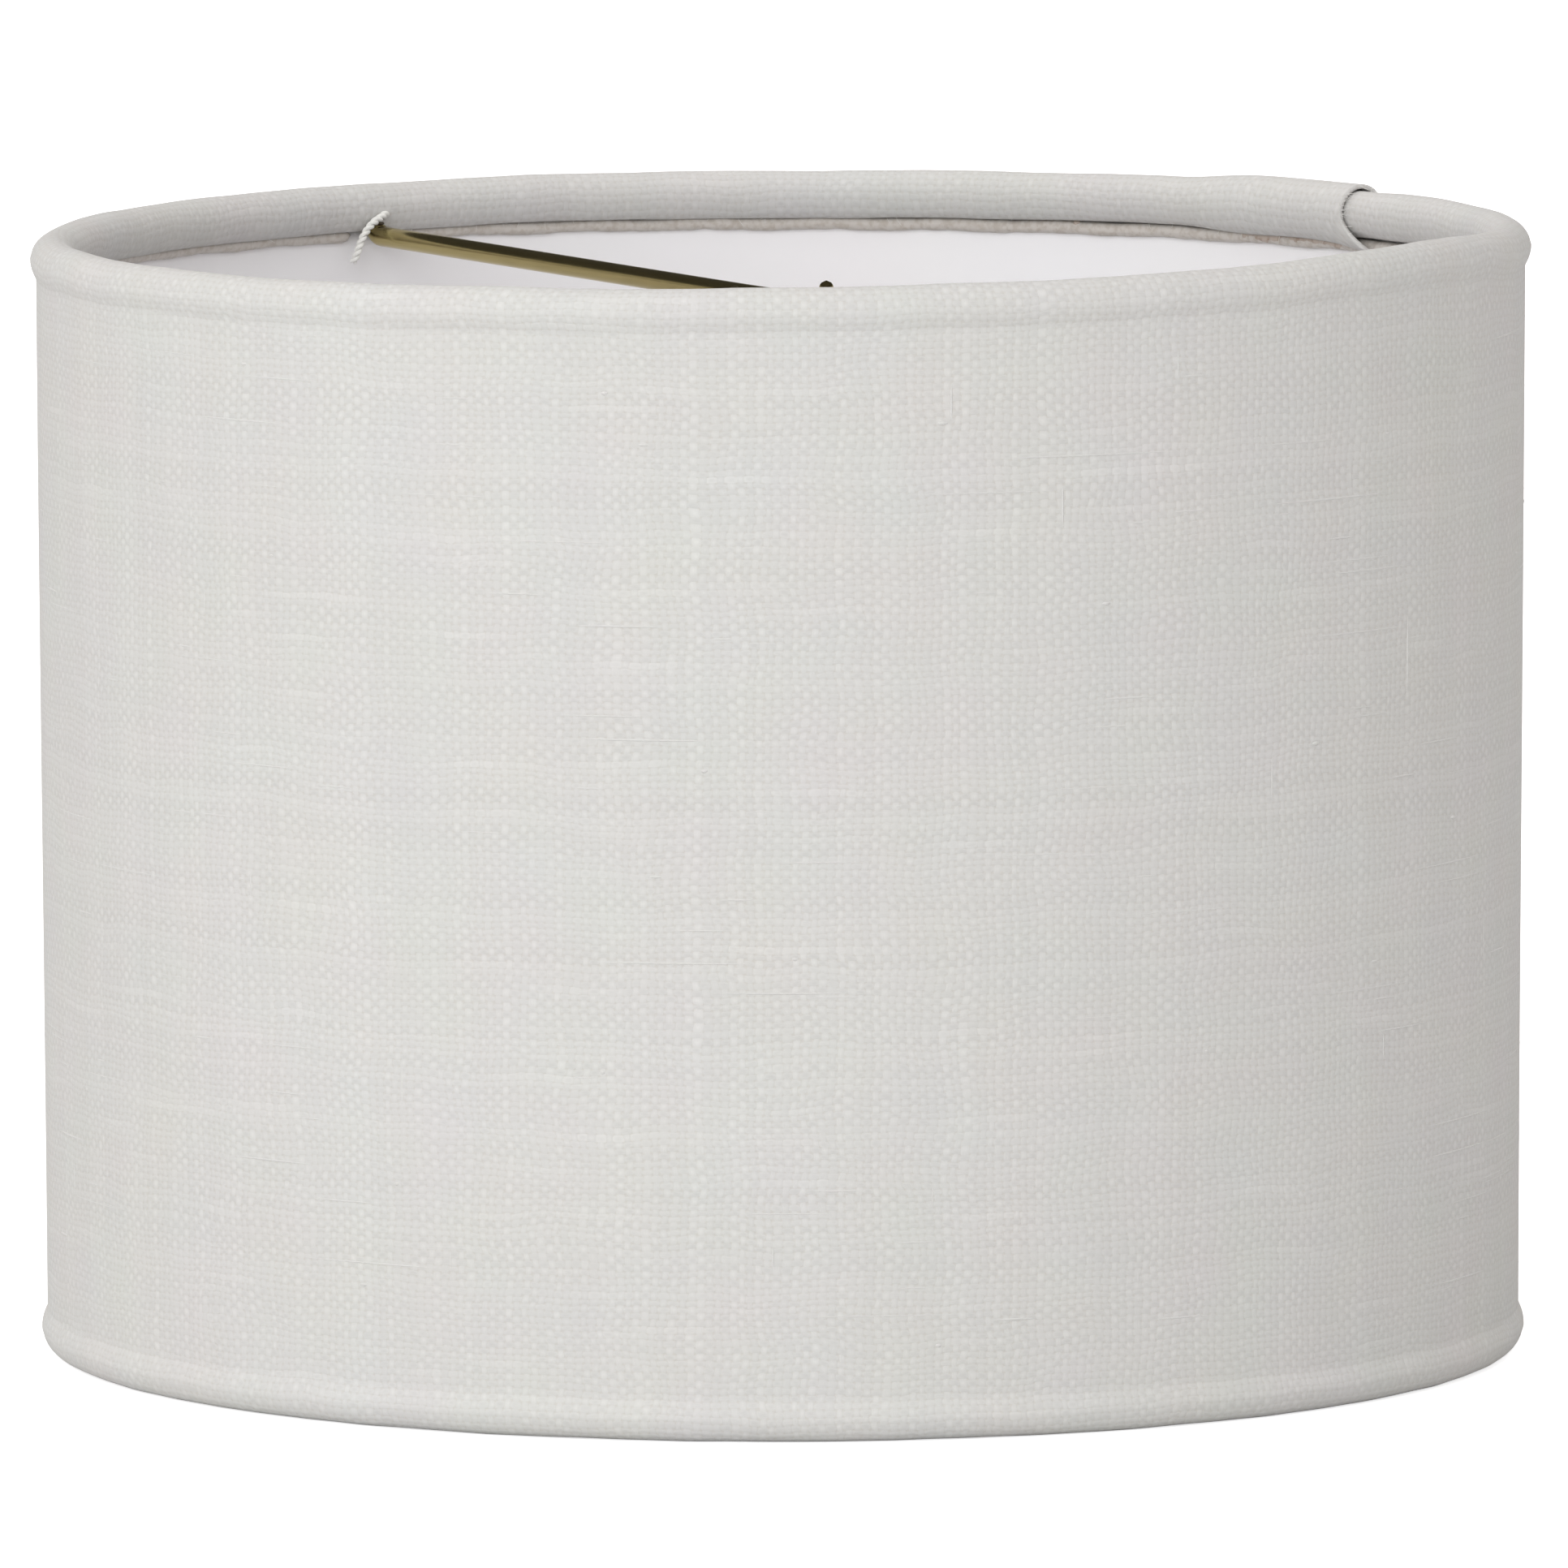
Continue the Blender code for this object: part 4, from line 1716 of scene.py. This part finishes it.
@dataclass
class SeamGlue(GlueBead):
    """Brown glue that has crept out under the lap, and one stray drop of it."""

    name = "glue_line"
    patches: tuple[tuple[float, float, float], ...] = (     # start, end, drop below the ring
        (radians(1.5), radians(14.0), 2.95 * MM), (radians(29.3), radians(30.05), 2.7 * MM),
    )
    thickness: float = 1.15 * MM
    wander: float = 0.08 * MM
    sunk: float = 0.38 * MM
    pitch: float = radians(0.15)        # turn between two points

    def lines(self) -> list[np.ndarray]:
        """Draw the line and the drop.

        Returns:
            The centre line of each.
        """
        drawn = []
        for start, end, drop in self.patches:
            turns = np.linspace(start, end, max(12, round((end - start) / self.pitch)))
            drawn.append(self.bead(turns, drop, 90))
        return drawn

    def sizes(self) -> dict[str, Any]:
        """Give the recipe's values by input name."""
        return {"Wire": self.thickness, "Sides": 10, "Dome": self.thickness, "Unevenness": 0.5,
                "Lumps": 900.0}


# ---------------------------------------------------------------------- the liner
@dataclass
class StyreneLiner:
    """White styrene sheet behind the linen, its ends lapped on the inside."""

    form: DrumForm
    start: float = radians(196.0)
    lap: float = radians(8.0)
    lap_step: float = 0.45 * MM
    waviness: float = 0.12 * MM
    columns: int = 520
    rows: int = 60

    @staticmethod
    def recipe() -> Recipe:
        """Build the tree that rolls a flat sheet into a lapped drum.

        Returns:
            The recipe.
        """
        recipe = Recipe("rolled_sheet", {
            "Columns": ("Int", 64), "Rows": ("Int", 8), "Start": ("Float", 0.0),
            "Span": ("Float", 6.4), "Foot": ("Float", 0.0), "Height": ("Float", 0.1),
            "Radius": ("Float", 0.07), "Taper": ("Float", 0.0), "Lap": ("Float", 0.1),
            "Lap step": ("Float", 0.0004), "Waviness": ("Float", 0.0),
        })
        g, given = recipe.graph, recipe.given
        square = {0: 1.0, 1: 1.0, 2: given["Columns"], 3: given["Rows"]}
        grid = g.add("GeometryNodeMeshGrid", square).outputs[0]
        x, y, _ = g.split(g.add("GeometryNodeInputPosition").outputs[0])
        swept = g.times(g.plus(x, 0.5), given["Span"])
        turn = g.plus(swept, given["Start"])
        rise = g.times(g.plus(y, 0.5), given["Height"])
        height = g.plus(given["Foot"], rise)
        before_lap = g.minus(given["Span"], given["Lap"])
        under = g.step(swept, g.minus(before_lap, 0.05), before_lap)
        dent = g.times(under, given["Lap step"])
        around = g.join(g.times(g.math("COSINE", turn), 3.2), g.times(g.math("SINE", turn), 3.2),
                        g.times(height, 9.0))
        wave = g.minus(g.noise(around, 1.6, 1.0).outputs[0], 0.5)
        radius = g.linear(rise, given["Taper"], given["Radius"])
        radius = g.minus(g.linear(wave, given["Waviness"], radius), dent)
        rolled = g.join(g.times(radius, g.math("COSINE", turn)),
                        g.times(radius, g.math("SINE", turn)), height)
        recipe.close(g.add("GeometryNodeSetPosition", {0: grid, 2: rolled}).outputs[0])
        return recipe

    def build(self, finish: bpy.types.Material) -> bpy.types.Object:
        """Roll the liner.

        Args:
            finish: styrene.

        Returns:
            The piece.
        """
        tall = self.form.liner_top - self.form.liner_foot
        foot_radius = self.form.liner_radius - self.form.taper * tall - self.form.liner / 2
        piece = self.recipe().grow(
            bpy.data.meshes.new("styrene_sheet"), finish, Columns=self.columns, Rows=self.rows,
            Start=self.start, Span=2 * pi + self.lap, Foot=self.form.liner_foot, Height=tall,
            Radius=foot_radius, Taper=self.form.taper, Lap=self.lap, Lap_step=self.lap_step,
            Waviness=self.waviness,
        )
        thick = piece.modifiers.new("Sheet thickness", "SOLIDIFY")
        thick.thickness = self.form.liner
        thick.offset = 0.0
        return piece


# ---------------------------------------------------------------------- studio
@dataclass
class Studio:
    """Plain pale floor, soft light and the camera."""

    turn: float = radians(35.45)        # line of sight, clockwise from +Y
    pitch: float = radians(6.10)
    roll: float = radians(0.12)
    distance: float = 2.1299
    height: float = 0.2851
    lens: float = 482.6
    shift: float = 0.0014
    floor_half: float = 9.0
    key_turn: float = radians(19.0)     # to the left of the camera, seen from the shade
    key_rise: float = radians(20.0)
    key_distance: float = 2.2
    key_size: float = 2.0
    key_power: float = 19.5
    key_colour: Colour = (0.945, 0.99, 1.0)
    ambient: float = 0.572
    overhead: float = 0.90              # extra light from straight above, as a share
    ambient_colour: Colour = (1.0, 0.972, 0.958)
    right_loss: float = 0.34            # light lost towards the right, as a share
    front_gain: float = 0.2             # and gained towards the camera
    gloss_low: float = 0.85             # room as shiny faces see it, level and overhead
    gloss_high: float = 0.05
    gloss_band: tuple[float, float] = (-0.05, 0.35)
    floor_grey: float = 0.8
    floor_glow: float = 0.72
    sensor: float = 36.0
    far: float = 100.0

    def camera(self) -> None:
        """Set the camera up."""
        data = bpy.data.cameras.new("view")
        data.lens = self.lens
        data.sensor_width = self.sensor
        data.shift_x = self.shift
        data.clip_end = self.far
        item = bpy.data.objects.new("view", data)
        level = Matrix.Rotation(-self.turn, 4, "Z") @ Matrix.Rotation(pi / 2 - self.pitch, 4, "X")
        place = Vector((-sin(self.turn) * self.distance, -cos(self.turn) * self.distance, self.height))
        item.matrix_world = Matrix.Translation(place) @ level @ Matrix.Rotation(-self.roll, 4, "Z")
        bpy.context.scene.collection.objects.link(item)
        bpy.context.scene.camera = item

    def key_light(self) -> None:
        """Hang one large soft lamp at the front left."""
        data = bpy.data.lights.new("key", "AREA")
        data.shape = "DISK"
        data.size = self.key_size
        data.energy = self.key_power
        data.color = self.key_colour
        item = bpy.data.objects.new("key", data)
        heading = -self.turn - self.key_turn - pi / 2
        level = cos(self.key_rise)
        way = Vector((cos(heading) * level, sin(heading) * level, sin(self.key_rise)))
        item.location = way * self.key_distance
        item.rotation_euler = way.to_track_quat("Z", "Y").to_euler()
        item.visible_glossy = False
        bpy.context.scene.collection.objects.link(item)

    def world(self) -> None:
        """Fill the room with soft light, dimmer on the right and dark overhead in reflections."""
        world = bpy.data.worlds.new("studio")
        world.use_nodes = True
        bpy.context.scene.world = world
        g = Graph(world.node_tree)
        back = world.node_tree.nodes["Background"]
        way = g.add("ShaderNodeTexCoord").outputs["Generated"]
        right = (cos(self.turn), -sin(self.turn), 0.0)
        aside = g.vector("DOT_PRODUCT", way, right, output=1)
        rise = g.split(way)[2]
        front = g.vector("DOT_PRODUCT", way, (-sin(self.turn), -cos(self.turn), 0.0), output=1)
        level = g.linear(front, self.front_gain, g.linear(aside, -self.right_loss, 1.0))
        level = g.linear(rise, self.overhead, level)
        diffuse = g.times(level, self.ambient)
        gloss = g.blend(g.step(rise, *self.gloss_band), self.gloss_low, self.gloss_high)
        path = g.add("ShaderNodeLightPath").outputs
        light = g.blend(path["Is Glossy Ray"], diffuse, gloss)
        g.feed(back.inputs["Strength"], g.blend(path["Is Camera Ray"], light, 1.0))
        g.feed(back.inputs["Color"], g.tint(path["Is Camera Ray"], self.ambient_colour, (1.0, 1.0, 1.0)))

    def floor(self) -> None:
        """Lay a plain floor that shows nearly white with a faint contact shade."""
        mesh = bpy.data.meshes.new("floor")
        half = self.floor_half
        corners = [(-half, -half, 0), (half, -half, 0), (half, half, 0), (-half, half, 0)]
        mesh.from_pydata(corners, [], [(0, 1, 2, 3)])
        material = bpy.data.materials.new("floor")
        material.use_nodes = True
        g = Graph(material.node_tree)
        shader = material.node_tree.nodes["Principled BSDF"]
        plain = {"Base Color": rgba((self.floor_grey,) * 3), "Roughness": 1.0, "Specular IOR Level": 0.0,
                 "Emission Color": (1.0, 1.0, 1.0, 1.0)}
        for name, value in plain.items():
            shader.inputs[name].default_value = value
        seen = g.add("ShaderNodeLightPath").outputs["Is Camera Ray"]
        g.feed(shader.inputs["Emission Strength"], g.times(seen, self.floor_glow))
        mesh.materials.append(material)
        add_piece(mesh)

    def build(self) -> None:
        """Set the whole studio up."""
        self.camera()
        self.key_light()
        self.world()
        self.floor()
        bpy.context.scene.view_settings.view_transform = "Standard"


# ---------------------------------------------------------------------- putting it together
def fit(piece: bpy.types.Object, body: str, slot: str, *nodes: str) -> bpy.types.Object:
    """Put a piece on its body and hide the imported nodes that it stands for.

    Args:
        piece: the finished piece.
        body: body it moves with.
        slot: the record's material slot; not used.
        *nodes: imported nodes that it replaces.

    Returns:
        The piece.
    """
    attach(piece, body)
    if nodes:
        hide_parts(*nodes)
    log.info("%-24s %7d faces", piece.name, len(piece.data.polygons))
    return piece


def main() -> None:
    """Build the shade from the cloth inwards, then the studio."""
    logging.basicConfig(level=logging.INFO, format="%(message)s")
    form, wardrobe, wires = DrumForm(), Wardrobe(), BentWire()
    Studio().build()

    cover = LinenCover(form)
    linen = fit(cover.build(wardrobe.linen), "shade", "linen", "linen_cover")
    fit(StyreneLiner(form).build(wardrobe.styrene), "shade", "styrene", "styrene_liner")

    strew = ThickYarns.recipe()
    kinds = (
        ThickYarns(form, "weft_slubs", 420, 21, 4 * MM, 30 * MM, 0.27 * MM),
        ThickYarns(form, "warp_slubs", 90, 22, 3 * MM, 12 * MM, 0.25 * MM, upright=True),
        ThickYarns(form, "neps", 60, 23, 0.7 * MM, 1.6 * MM, 0.5 * MM, sunk=0.1 * MM),
    )
    with_cloth = [fit(kind.build(strew, wardrobe.slub), "shade", "linen") for kind in kinds]
    with_cloth.append(fit(Fray(cover).build(wires, wardrobe.yarn), "shade", "linen"))
    with_cloth.append(fit(LooseYarn(form).build(wires, wardrobe.yarn), "shade", "linen"))
    fit(HemGlue(form).build(wires, wardrobe.hem_glue_and_painted_shade), "shade", "linen")
    fit(SeamGlue(form).build(wires, wardrobe.glue), "shade", "linen")
    cover.flat_length

    bar = ClipBar()
    fit(Crossbar().build(wires, wardrobe.brass), "shade", "brass", "crossbar")
    fit(bar.build(wires, wardrobe.brass), "shade", "brass", "clip_bar")
    for side in Side:
        loop = ClipLoop(side, bar)
        fit(loop.build(wires, wardrobe.loop_brass), loop.body, "brass", loop.node)
    fit(WeldBeads(bar).build(wardrobe.weld), "shade", "ring_steel")
    for node in ("top_ring", "bottom_ring"):
        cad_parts[node].material_slots[0].material = wardrobe.steel


if __name__ == "__main__":
    main()
